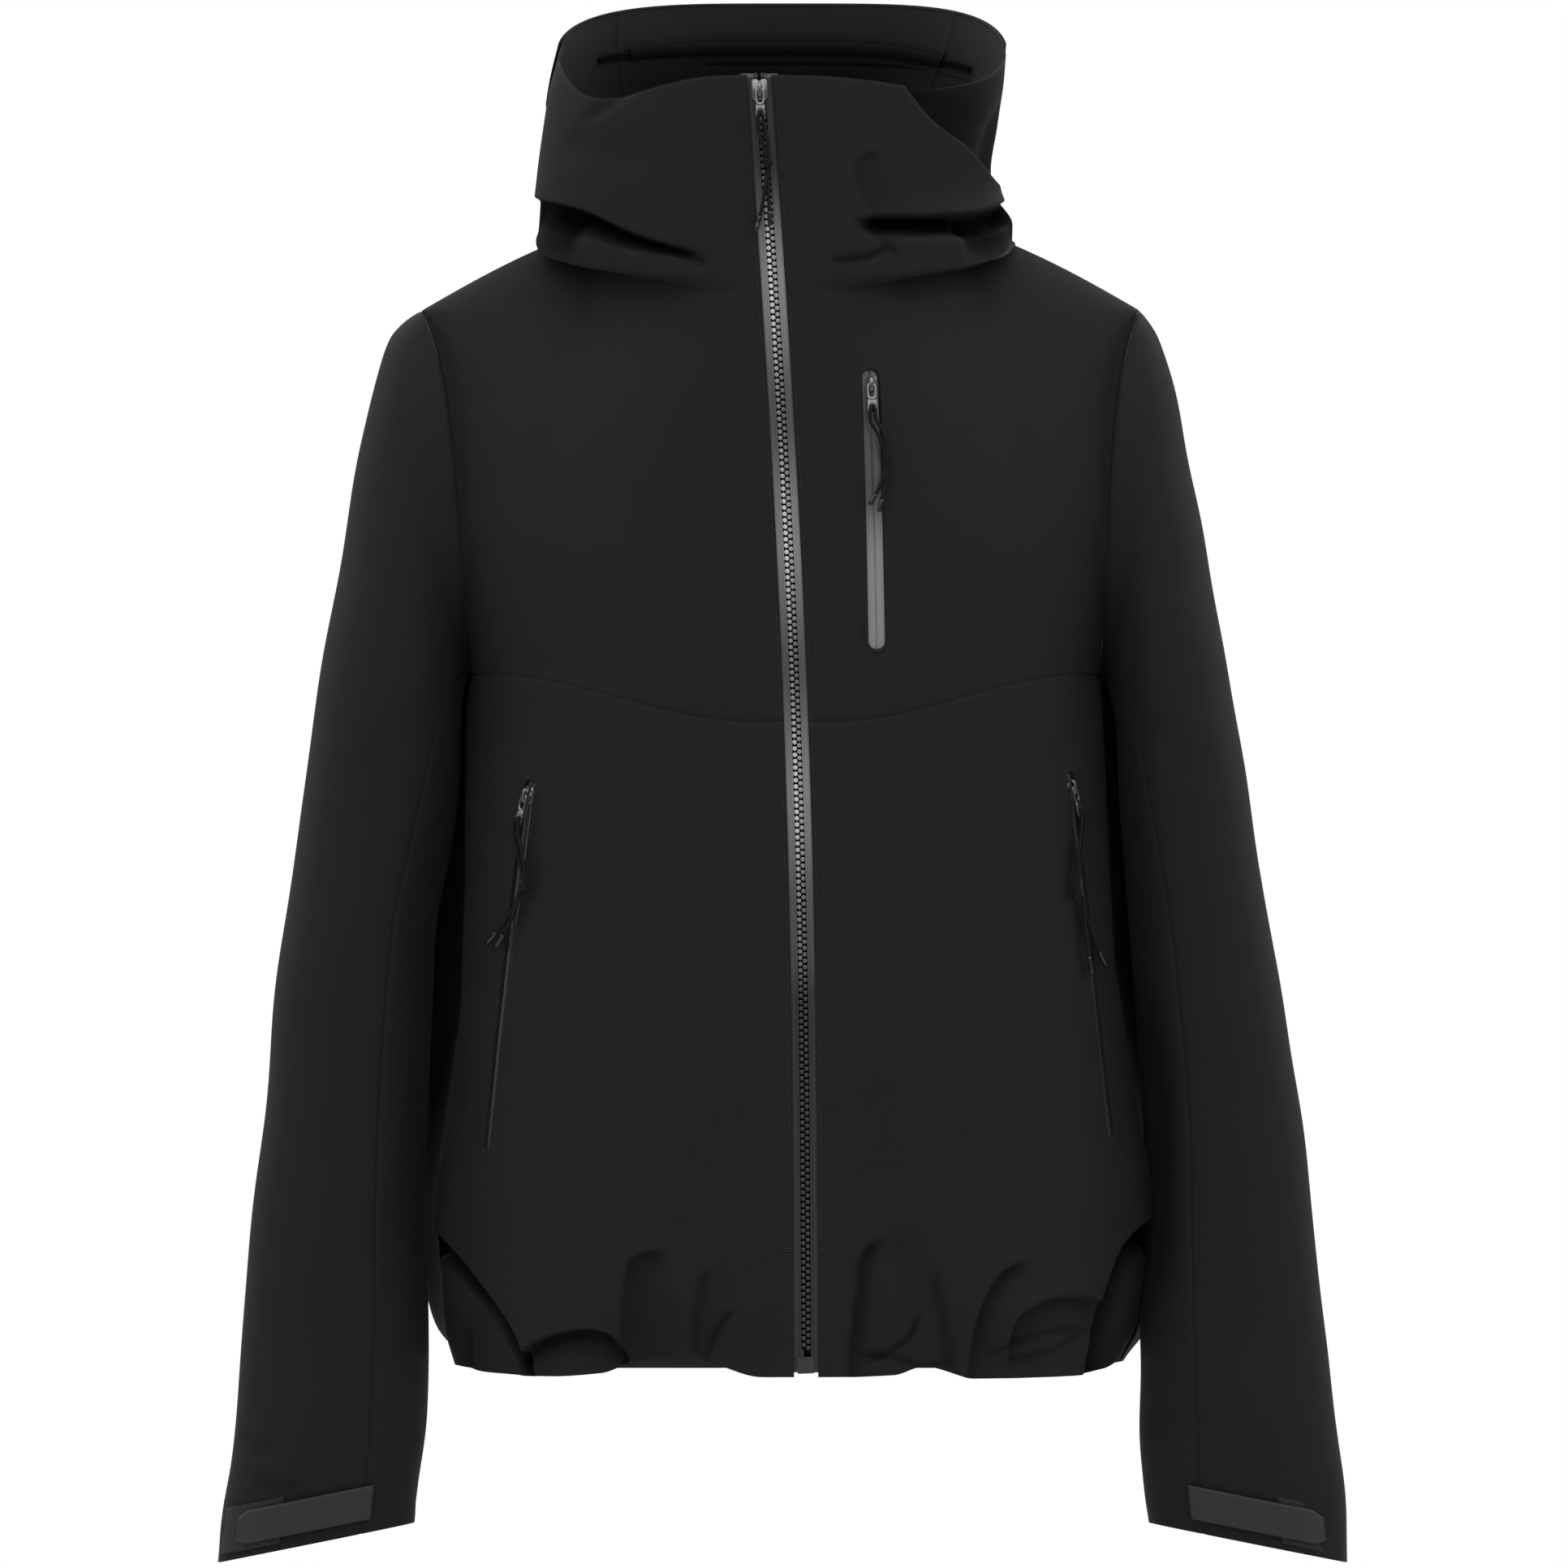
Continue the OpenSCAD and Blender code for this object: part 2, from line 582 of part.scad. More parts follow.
module hem_drawcord() {
    color(hard_black) cord([for (i = [0:48]) hem_path_point(i / 48)], draw_cord_r, 6);
}

lock_x = chest_half - 34;
lock_y = 66;
lock_z = -body_h + 24;

function lock_pos(s) = [s * lock_x + lean, lock_y, lock_z];

// Barrel housings that grip the cord ends inside the hem, one at each side
module hem_cord_lock_housings() {
    color(hard_black) for (s = [-1, 1]) translate(lock_pos(s)) difference() {
        cylinder(r = 7, h = 13);
        translate([0, 0, 3]) cylinder(r = 5, h = 11);
        translate([-8, 0, 1.4]) rotate([0, 90, 0]) cylinder(r = 1, h = 16);
    }
}

module hem_cord_lock_button(s) {
    color([0.12, 0.12, 0.13]) translate(lock_pos(s) + [0, 0, 7]) cylinder(r = 4.6, h = 10);
}

// ---- hood: a standing shell behind the collar that folds back as one ----

fold_y = 78;
fold_z = 12;
front_end_y = -30;
crown_half = 62;

function hood_rim(s, u) = // from the front end of the hood side to the middle of the back
    let (a = 90 * u)
    [s * (hood_half - 5) * pow(cos(a), 0.55), mix(front_end_y, 62, pow(sin(a), 0.9)),
     mix(collar_rise + 8, brim_rise, pow(sin(a), 0.9))];

function brim_seam(s, u) =
    let (p = hood_rim(s, u), drop = ease(0.05, 0.6, u))
    [p.x + s * 4 * cos(90 * u), p.y + 14 * drop * sin(90 * u), p.z - brim_w * drop];

crown_u = 0.72; // where the crown seam meets the brim seam

function hood_low(s, u) =
    [s * mix(hood_half + 2, crown_half, pow(u, 1.6)) + s * 6 * sin(180 * u),
     mix(front_end_y - 4, 94, u), mix(7, 22, u)];

function crown_seam(s, v) =
    let (a = hood_low(s, 1), b = brim_seam(s, crown_u))
    mix(a, b, v) + [0, 44 * sin(180 * pow(v, 0.9)), 10 * sin(180 * v)];

function hood_side_point(s, u, v) =
    patch(function (u) hood_low(s, u), function (u) brim_seam(s, u * crown_u),
        function (v) mix(hood_low(s, 0), brim_seam(s, 0), v) + [s * 2 * sin(180 * v), 0, 0],
        function (v) crown_seam(s, v), u, v) + [s * 6 * 16 * u * (1 - u) * v * (1 - v), 0, 0];

function crown_point(u, v) =
    let (gap = 0.5)
    patch(function (u) let (p = hood_low(-1, 1)) [mix(p.x + gap, -p.x - gap, u), p.y + 5 * sin(180 * u), p.z],
        function (u) let (t = mix(crown_u, 2 - crown_u, u), s = t < 1 ? -1 : 1, p = brim_seam(s, min(t, 2 - t)))
            [p.x * (1 - gap / 60), p.y, p.z],
        function (v) crown_seam(-1, v) + [gap, 0, 0], function (v) crown_seam(1, v) - [gap, 0, 0], u, v);

module hood_side(s) {
    color(fabric) sheet(side_grid(s, function (u, v) hood_side_point(s, u, v), 12, 7), shell_t);
}

module hood_crown() { color(fabric) sheet(grid(function (u, v) crown_point(u, v), 12, 7, 1, 0), shell_t); }

// Point of the brim band: u runs round the back from right to left, v up to the rim
function brim_point(u, v, out) =
    let (t = mix(0.24, 1.76, u), s = t < 1 ? -1 : 1, w = min(t, 2 - t),
         low = brim_seam(s, w) + [0, 0, 1.2], p = mix(low, hood_rim(s, w), v), flat = unit([p.x, p.y, 0]))
    p + flat * out;

module hood_brim() {
    color(fabric) sheet(grid(function (u, v) brim_point(u, v, 0), 22, 2, 1, 0), shell_t);
}

tunnel_v = 0.3; // height of the drawcord tunnel on the brim band

// Flat tape that holds the drawcord against the inside of the brim
module hood_drawcord_tunnel() {
    color(fabric_inside) sheet(grid(function (u, v) brim_point(mix(0.2, 0.8, u), tunnel_v - 0.12 + 0.26 * v, -5.4),
        18, 1, 1, 0), 0.5);
}

module hood_drawcord() {
    color(hard_black) for (v = [tunnel_v - 0.05, tunnel_v + 0.06])
        cord([for (i = [0:18]) brim_point(mix(0.16, 0.84, i / 18), v, -3.2)], 0.9, 6);
}

module hood_cord_tabs() {
    color(hard_black) for (u = [[0.1, 0.155], [0.845, 0.9]])
        sheet(grid(function (a, b) brim_point(mix(u[1], u[0], a), tunnel_v - 0.12 + 0.26 * b, -2.4), 3, 1), 1);
}

// ---- sleeves: rings between an outer and an inner edge, wide axis in the front view ----

sleeve_gap = 2.6; // the sleeve head starts this far outside the armhole

// Outer and inner edge of the sleeve in the front view, from the shoulder to the cuff
outer_edge = [[shoulder_half + sleeve_gap, shoulder_drop + 4], [209, 48], [221, 76], [233, 130], [247, 207],
    [262, 300], [273, 380], [287, 495], [297, 585], [303.5, 655], [308, 695], [cuff_out_x, cuff_out_drop]];
inner_edge = [[chest_half + 5.5, chest_seam_side - 1], [181.5, 246], [183.5, 254], [185.5, 268], [188, 290],
    [191.5, 332], [193.5, 395], [193.5, 500], [193.5, 585], [195, 648], [199, 686], [cuff_in_x, cuff_in_drop]];
ring_half = [armhole_half, 61, 64, 67, 68, 66, 62, 56, 50, 44, 38, 33]; // half depth of each ring
ring_back = [8, 8, 8, 7, 6, 5, 3, 0, -3, -5, -6, -6];                   // how far each ring stands back

last_ring = len(outer_edge) - 1;
front_seam = 112; // angle of the seams between the outer and the under panel

// Point of ring k at an angle from the outer edge, positive over the front
function sleeve_point(s, k, a) =
    let (o = outer_edge[k], n = inner_edge[k], mid = (o + n) / 2, half = (o - n) / 2,
         e = mix(1, 0.8, k / last_ring), c = signed_pow(cos(a), e), f = signed_pow(sin(a), e))
    [s * (mid.x + half.x * c), ring_back[k] - ring_half[k] * f, -(mid.y + half.y * c)];

module sleeve_panel(s, a0, a1, steps) {
    g = [for (i = [0:steps]) [for (k = [last_ring:-1:0]) sleeve_point(s, k, s < 0 ? mix(a0, a1, i / steps)
        : mix(a1, a0, i / steps))]];
    color(fabric) sheet(g, shell_t);
}

module sleeve_outer(s) { sleeve_panel(s, -front_seam + 0.5, front_seam - 0.5, 16); }
module sleeve_under(s) { sleeve_panel(s, front_seam + 0.5, 360 - front_seam - 0.5, 9); }

// Point off the front face of the sleeve near the cuff: x from the middle of the jacket, up from the cuff edge
function cuff_front(s, x, up, off) =
    let (k = last_ring, t = (x - cuff_in_x) / (cuff_out_x - cuff_in_x),
         c = 2 * t - 1, f = pow(max(0, 1 - pow(abs(c), 2.5)), 0.4),
         slope = up / 40)
    [s * (x - up * 0.11), ring_back[k] - (ring_half[k] + 5 * slope) * f - off,
     -mix(cuff_in_drop, cuff_out_drop, t) + up];

sewn_x = cuff_out_x - tab_len - 7; // where the tab is sewn on

module cuff_strip(s, x0, x1, up0, up1, off, t, steps) {
    g = [for (i = [0:steps]) [for (j = [0:1])
        cuff_front(s, s < 0 ? mix(x1, x0, i / steps) : mix(x0, x1, i / steps), mix(up0, up1, j), off)]];
    sheet(g, t);
}

// Hook patch under the free end of the tab
module cuff_patch(s) {
    color([0.05, 0.05, 0.06]) cuff_strip(s, cuff_out_x - 32, cuff_out_x - 7, 6, 30, 1.7, 0.7, 8);
}

module cuff_tab(s) {
    color([0.2, 0.2, 0.21]) cuff_strip(s, sewn_x, cuff_out_x - 9, 17 - tab_w / 2, 17 + tab_w / 2, 4.3, 1.3, 14);
}

// ---- nodes ----

front_yoke_right();
front_yoke_left();
front_body_right();
front_body_left();
back_yoke();
back_body();
collar(-1);  // collar_right
collar(1);  // collar_left
neck_tape();
hang_loop();
main_zip_tape(-1);  // main_zip_tape_right
main_zip_tape(1);  // main_zip_tape_left
main_zip_teeth(-1);  // main_zip_teeth_right
main_zip_teeth(1);  // main_zip_teeth_left
main_zip_top_stops();
main_zip_box();
main_zip_pin();
storm_flap();
chin_guard();
main_zip_slider();
main_zip_pull();
main_zip_cord();
chest_zip_tape();
chest_zip_coil();
chest_pocket_bag();
chest_zip_slider();
chest_zip_pull();
chest_zip_cord();
pocket_tape(hand_line_right, hand_tape_half);  // hand_zip_tape_right
pocket_coil(hand_line_right);  // hand_zip_coil_right
hand_pocket_bag(-1);  // hand_pocket_bag_right
hand_zip_slider(hand_line_right);  // hand_zip_slider_right
hand_zip_pull(hand_line_right);  // hand_zip_pull_right
hand_zip_cord(hand_line_right);  // hand_zip_cord_right
pocket_tape(hand_line_left, hand_tape_half);  // hand_zip_tape_left
pocket_coil(hand_line_left);  // hand_zip_coil_left
hand_pocket_bag(1);  // hand_pocket_bag_left
hand_zip_slider(hand_line_left);  // hand_zip_slider_left
hand_zip_pull(hand_line_left);  // hand_zip_pull_left
hand_zip_cord(hand_line_left);  // hand_zip_cord_left
hem_drawcord();
hem_cord_lock_housings();
hem_cord_lock_button(-1);  // hem_cord_lock_button_right
hem_cord_lock_button(1);  // hem_cord_lock_button_left
hood_side(-1);  // hood_side_right
hood_side(1);  // hood_side_left
hood_crown();
hood_brim();
hood_drawcord_tunnel();
hood_drawcord();
hood_cord_tabs();
sleeve_outer(-1);  // sleeve_outer_right
sleeve_under(-1);  // sleeve_under_right
sleeve_outer(1);  // sleeve_outer_left
sleeve_under(1);  // sleeve_under_left
cuff_patch(-1);  // cuff_patch_right
cuff_patch(1);  // cuff_patch_left
cuff_tab(-1);  // cuff_tab_right
cuff_tab(1);  // cuff_tab_left
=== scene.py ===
"""Looks of a hooded ski shell jacket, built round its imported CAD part.

Shapes are worked out in millimetres in the frame of the part and written as metres.
+Z is up, -Y is the front, +X is the wearer's left. A side s is -1 for right and +1 for left.
A panel is a grid of points: u runs across it and v up it, both from 0 to 1.
"""

import json
import math

import bpy
import numpy as np
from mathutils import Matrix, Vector
from mathutils.bvhtree import BVHTree

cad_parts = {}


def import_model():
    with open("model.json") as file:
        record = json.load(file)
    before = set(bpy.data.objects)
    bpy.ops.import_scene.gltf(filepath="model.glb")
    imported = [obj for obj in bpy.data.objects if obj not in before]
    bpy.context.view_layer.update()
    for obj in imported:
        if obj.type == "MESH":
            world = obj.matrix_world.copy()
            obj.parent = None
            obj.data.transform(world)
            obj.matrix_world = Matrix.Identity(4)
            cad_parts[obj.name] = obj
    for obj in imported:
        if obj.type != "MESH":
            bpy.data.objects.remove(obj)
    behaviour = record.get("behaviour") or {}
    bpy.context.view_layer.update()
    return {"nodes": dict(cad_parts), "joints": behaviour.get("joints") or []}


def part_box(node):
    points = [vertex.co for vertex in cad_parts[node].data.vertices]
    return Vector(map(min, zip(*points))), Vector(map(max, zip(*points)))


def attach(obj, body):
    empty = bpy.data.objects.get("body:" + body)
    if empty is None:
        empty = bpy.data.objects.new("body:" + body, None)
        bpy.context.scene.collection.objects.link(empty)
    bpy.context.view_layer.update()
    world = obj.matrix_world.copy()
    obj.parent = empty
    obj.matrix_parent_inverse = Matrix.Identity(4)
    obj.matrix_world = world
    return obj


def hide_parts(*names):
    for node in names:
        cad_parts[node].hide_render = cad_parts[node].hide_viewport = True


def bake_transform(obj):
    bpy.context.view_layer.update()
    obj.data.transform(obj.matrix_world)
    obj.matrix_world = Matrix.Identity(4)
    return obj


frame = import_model()
MM = 0.001
SIDES = ((-1, "right"), (1, "left"))
joints = {j["name"]: j for j in frame["joints"]}

# ---- numbers and curves


def mix(a, b, t):
    return a + (b - a) * t


def smooth(t):
    t = np.clip(t, 0, 1)
    return t * t * (3 - 2 * t)


def ease(a, b, x):
    return smooth((x - a) / (b - a))


def bump(x, centre, width):
    return np.exp(-(((x - centre) / width) ** 2))


def power(x, e):
    return np.maximum(x, 0) ** e


def bent(x, e):
    """x to a power, with its sign kept."""
    return np.sign(x) * np.abs(x) ** e


def turns(count, whole=2 * math.pi):
    """Angles evenly round a circle, without its end."""
    return np.linspace(0, whole, count, endpoint=False)


def hermite(a, b, slope_a, slope_b, step, t):
    return (a * (1 + 2 * t) * (1 - t) ** 2 + slope_a * step * t * (1 - t) ** 2
            + b * t * t * (3 - 2 * t) + slope_b * step * t * t * (t - 1))


def spline(xs, ys, x):
    """Monotone cubic curve through the stations (xs, ys), held flat beyond its ends."""
    xs, ys = np.asarray(xs, float), np.asarray(ys, float)
    if xs[0] > xs[-1]:
        xs, ys = xs[::-1], ys[::-1]
    step = np.diff(xs)
    slope = np.diff(ys) / step
    tangent = np.r_[slope[0], np.zeros(len(slope) - 1), slope[-1]]
    for i in range(1, len(slope)):
        if slope[i - 1] * slope[i] > 0:
            tangent[i] = 2 * slope[i - 1] * slope[i] / (slope[i - 1] + slope[i])
    x = np.clip(x, xs[0], xs[-1])
    i = np.clip(np.searchsorted(xs, x) - 1, 0, len(step) - 1)
    return hermite(ys[i], ys[i + 1], tangent[i], tangent[i + 1], step[i], (x - xs[i]) / step[i])


def profile(stations, x, column=1):
    """Curve through one column of the stations, whose first column is x."""
    rows = np.array(stations, float)
    return spline(rows[:, 0], rows[:, column], x)


def through(points, count):
    """Smooth path of count points through given points of any dimension."""
    p = np.asarray(points, float)
    gaps = np.linalg.norm(np.diff(p, axis=0), axis=1)
    along = np.r_[0, np.cumsum(gaps)]
    t = np.linspace(0, along[-1], count)
    slope = np.gradient(p, along, axis=0)
    i = np.clip(np.searchsorted(along, t) - 1, 0, len(gaps) - 1)
    share = ((t - along[i]) / gaps[i])[:, None]
    return hermite(p[i], p[i + 1], slope[i], slope[i + 1], gaps[i][:, None], share)


def xyz(x, y, z):
    return np.stack(np.broadcast_arrays(x, y, z), axis=-1).astype(float)


def unit(v):
    v = np.asarray(v, float)
    return v / np.maximum(np.linalg.norm(v, axis=-1, keepdims=True), 1e-9)


def run_along(path):
    """Distance passed at each point of a path."""
    return np.r_[0, np.cumsum(np.linalg.norm(np.diff(path, axis=0), axis=1))]


# ---- folds drawn on the front view


def beside(x, z, path):
    """Distance to a path in the front view, positive on its left, and the share of its length passed."""
    path = through(path, 20)
    best, signed, passed = np.full(x.shape, np.inf), 0, 0
    run = run_along(path)
    for (ax, az), (dx, dz), start, length in zip(path, unit(np.diff(path, axis=0)), run, np.diff(run)):
        t = np.clip((x - ax) * dx + (z - az) * dz, 0, length)
        away = np.hypot(x - ax - t * dx, z - az - t * dz)
        near = away < best
        best = np.where(near, away, best)
        signed = np.where(near, np.sign(dx * (z - az) - dz * (x - ax)) * away, signed)
        passed = np.where(near, (start + t) / run[-1], passed)
    return signed, passed


def crease(x, z, depth, width, dark, path):
    """A valley along a path: its height and the shade painted into it."""
    r, t = beside(x, z, path)
    valley = np.exp(-((r / width) ** 2)) * smooth(t / 0.2) * smooth((1 - t) / 0.2)
    return -depth * valley, dark * valley


SHELF_EDGE = 0.8  # how sharply a fold breaks off at its path
# The darkness of a hollow is shade painted into the colour of the cloth.
DEEP, STEEP, SOFT = 0.6, 4, 1.6  # a hollow darker than DEEP has a steep far side, and others a soft one


def shelf(x, z, rise, reach, sink, dark, dips, path):
    """A fold that stands proud on the left of a path and drops on its right into a hollow, partly real shadow
    and partly painted shade.

    The hollow is as wide as the first of the dips where the path starts and as the second where it ends.
    Returns the height and the painted shade of the hollow."""
    r, t = beside(x, z, path)
    over = 0.5 + 0.5 * np.tanh(r / SHELF_EDGE)
    high = rise * over * np.exp(-np.maximum(r, 0) / reach)
    depth = np.abs(np.minimum(r, 0) / mix(*dips, t ** 0.4))
    hollow = (1 - over) * np.exp(-(depth ** (STEEP if dark > DEEP else SOFT)))
    ends = smooth(t / 0.12) * smooth((1 - t) / 0.12)
    return (high - sink * hollow) * ends, dark * hollow * ends


def folded(p, creases, shelves=()):
    """Height, and painted shade, that a set of creases and shelves gives to the grid p."""
    x, z = p[..., 0], p[..., 2]
    parts = [crease(x, z, *fold) for fold in creases] + [shelf(x, z, *fold) for fold in shelves]
    heights, shades = zip(*parts)
    clear = np.prod([1 - shade for shade in shades], axis=0)
    return sum(heights), 1 - clear


def undulate(p, seed, size):
    """Slow swells of cloth that hangs free, at the points p."""
    rng = np.random.default_rng(seed)
    total = 0
    for wavelength in (190, 130, 95, 70, 52, 38):
        turn, phase = rng.uniform(0, math.pi), rng.uniform(0, 2 * math.pi)
        along = p[..., 0] * math.cos(turn) + p[..., 2] * math.sin(turn)
        total = total + wavelength / 190 * np.sin(2 * math.pi / wavelength * along + phase)
    return size * 0.55 * total


# ---- meshes


def placed(name, data):
    """New object in the scene."""
    obj = bpy.data.objects.new(name, data)
    bpy.context.scene.collection.objects.link(obj)
    return obj


class Shape:
    """Vertices, faces and UVs of one mesh. Vertices are in mm and UVs in metres."""

    def __init__(self):
        self.verts, self.faces, self.uvs = [], [], []

    def add(self, verts, faces, uvs):
        first = len(self.verts)
        self.verts.extend(map(tuple, np.asarray(verts, float).reshape(-1, 3)))
        self.uvs.extend(map(tuple, np.asarray(uvs, float).reshape(-1, 2)))
        self.faces.extend(tuple(first + i for i in f) for f in faces)

    def loft(self, rings, caps=True):
        """Skin over rings of points; each ring has the same number of points."""
        rings = np.asarray(rings, float)
        n, m = rings.shape[:2]
        faces = [(i * m + k, i * m + (k + 1) % m, (i + 1) * m + (k + 1) % m, (i + 1) * m + k)
                 for i in range(n - 1) for k in range(m)]
        if caps:
            faces += [tuple(range(m - 1, -1, -1)), tuple((n - 1) * m + k for k in range(m))]
        run = run_along(rings.mean(1))
        round_ = np.linspace(0, np.linalg.norm(np.diff(rings[0], axis=0), axis=1).sum(), m)
        uvs = np.stack(lattice(run, round_), -1) * MM
        self.add(rings, faces, uvs)

    def tube(self, path, radius, sides=10, side_hint=(1, 0, 0), squeeze=1.0):
        """Cord along a path, flattened when squeeze is below 1."""
        path = np.asarray(path, float)
        radius = np.broadcast_to(radius, len(path))
        t = unit(np.gradient(path, axis=0))
        a = np.array(side_hint, float)
        rings = []
        for p, d, r in zip(path, t, radius):
            a = unit(a - d * (a @ d))
            b = np.cross(d, a)
            w = turns(sides)[:, None]
            rings.append(p + r * (np.cos(w) * a + squeeze * np.sin(w) * b))
        self.loft(rings)

    def prism(self, outline, y0, y1, soft=0.25):
        """Plate with a rounded rim: an outline in x and z, from y0 to y1."""
        outline = np.asarray(outline, float)
        mid = outline.mean(0)
        size = np.abs(outline - mid).max()
        rings = []
        for y, inset in ((y0, soft), (y0 + soft * 0.4, soft * 0.3), (y0 + soft, 0),
                         (y1 - soft, 0), (y1 - soft * 0.4, soft * 0.3), (y1, soft)):
            flat = mid + (outline - mid) * (1 - inset / size)
            rings.append(xyz(flat[:, 0], y, flat[:, 1]))
        self.loft(rings)

    def frame_plate(self, outer, inner, half_t, soft=0.2):
        """Plate with a hole: matching outer and inner outlines in x and z."""
        outer, inner = np.asarray(outer, float), np.asarray(inner, float)
        rings = []
        for share, y in ((0, -half_t + soft), (0.12, -half_t), (0.88, -half_t), (1, -half_t + soft),
                         (1, half_t - soft), (0.88, half_t), (0.12, half_t), (0, half_t - soft),
                         (0, -half_t + soft)):
            flat = mix(outer, inner, share)
            rings.append(xyz(flat[:, 0], y, flat[:, 1]))
        self.loft(rings, caps=False)

    def move(self, place):
        """Passes every vertex through place(points)."""
        self.verts = list(map(tuple, place(np.array(self.verts))))

    def build(self, name, material, shade_smooth=True):
        mesh = bpy.data.meshes.new(name)
        mesh.from_pydata((np.array(self.verts) * MM).tolist(), [], self.faces)
        layer = mesh.uv_layers.new(name="cloth")
        index = np.zeros(len(mesh.loops), np.int32)
        mesh.loops.foreach_get("vertex_index", index)
        layer.data.foreach_set("uv", np.array(self.uvs, np.float32)[index].ravel())
        mesh.polygons.foreach_set("use_smooth", [shade_smooth] * len(mesh.polygons))
        mesh.materials.append(material)
        mesh.validate()
        return placed(name, mesh)


def grid_normals(p, flip):
    n = unit(np.cross(np.gradient(p, axis=0), np.gradient(p, axis=1)))
    return -n if flip else n


def edge_run(p, axis, from_end=False):
    """Distance along the grid from one of its edges."""
    run = np.cumsum(np.linalg.norm(np.diff(p, axis=axis), axis=-1), axis=axis)
    run = np.insert(run, 0, 0, axis=axis)
    return np.take(run, [-1], axis=axis) - run if from_end else run


def rolled(p, flip, edges, drop=0.6, width=1.1):
    """Grid whose chosen edges roll inward, as fabric does at a seam. Edges are i0, i1, j0 and j1."""
    fall = np.zeros(p.shape[:2])
    for edge in edges.split():
        run = edge_run(p, 0 if edge[0] == "i" else 1, edge[1] == "1")
        fall = fall + drop * np.exp(-((run / width) ** 2))
    return p - grid_normals(p, flip) * fall[..., None]


def lattice(us, vs):
    return np.meshgrid(us, vs, indexing="ij")


def grid_quads(ni, nj):
    """Corners of each cell of a grid of ni by nj points."""
    i, j = lattice(np.arange(ni - 1), np.arange(nj - 1))
    a = (i * nj + j).ravel()
    return np.stack([a, a + nj, a + nj + 1, a + 1], -1)


def sheet(name, p, flip, material, thickness=0.8, keep=None, shade=None):
    """Fabric with its outer face on the grid p. keep(centres) says which faces stay.

    shade is the shade painted into the fabric in the depth of its folds, stored as its fold_shade attribute."""
    ni, nj = p.shape[:2]
    quads = grid_quads(ni, nj)
    if flip:
        quads = quads[:, ::-1]
    if keep is not None:
        quads = quads[keep(p.reshape(-1, 3)[quads].mean(1))]
    uvs = np.stack(lattice(edge_run(p, 0).mean(1), edge_run(p, 1).mean(0)), -1) * MM
    shape = Shape()
    shape.add(p, quads.tolist(), uvs)
    obj = shape.build(name, material)
    if shade is not None:
        layer = obj.data.attributes.new("fold_shade", "FLOAT", "POINT")
        layer.data.foreach_set("value", np.asarray(shade, np.float32).ravel())
    solid = obj.modifiers.new("thickness", "SOLIDIFY")
    solid.thickness = thickness * MM
    solid.offset = -1
    if material == shell_fabric:
        obj.data.materials.append(lining_fabric)
        solid.material_offset = 1
    return obj


def spread(n, *spots):
    """Shares from 0 to 1: n even ones, fine ones at both ends, and more in each (low, high, step)."""
    fine = np.array([0.0012, 0.0028, 0.005, 0.009])
    extra = [np.arange(lo, hi, step) for lo, hi, step in spots]
    values = np.unique(np.concatenate([np.linspace(0, 1, n), fine, 1 - fine] + extra))
    values = values[np.r_[True, np.diff(values) > 0.0006]]
    values[-1] = 1.0
    return values


# ---- materials

# Length and start of the waves of painted reflection along the zip, in metres.
REFLECTION_WAVE_LENGTH, REFLECTION_WAVE_START = 0.14, 0.025
PARALLEL, DIAGONAL = (0, 90), (45, -45)  # directions of crossing threads, in degrees


class Nodes:
    """Short ways to add shader nodes to a tree."""

    def __init__(self, tree):
        self.tree = tree

    def feed(self, socket, value):
        """Links an output socket to the input socket, or sets the input to any other value."""
        if isinstance(value, bpy.types.NodeSocket):
            self.tree.links.new(value, socket)
        else:
            socket.default_value = value

    def add(self, kind, sockets=None, **settings):
        """Outputs of a new node, whose inputs are fed by name or number."""
        node = self.tree.nodes.new("ShaderNode" + kind)
        for key, value in settings.items():
            setattr(node, key, value)
        for key, value in (sockets or {}).items():
            self.feed(node.inputs[key], value)
        return node.outputs

    def calc(self, operation, *values):
        return self.add("Math", dict(enumerate(values)), operation=operation)[0]

    def remap(self, value, start, end, low=0.0, high=1.0, kind="SMOOTHSTEP"):
        """The value's way from start to end, as a number from low to high."""
        sockets = {"Value": value, "From Min": start, "From Max": end, "To Min": low, "To Max": high}
        return self.add("MapRange", sockets, interpolation_type=kind)["Result"]

    def colors(self, share, a, b, kind="MIX"):
        return self.add("Mix", {0: share, 6: a, 7: b}, data_type="RGBA", blend_type=kind)[2]

    def height(self, space):
        """Z of the point that is shaded."""
        return self.add("SeparateXYZ", {"Vector": self.add("TexCoord")[space]})["Z"]


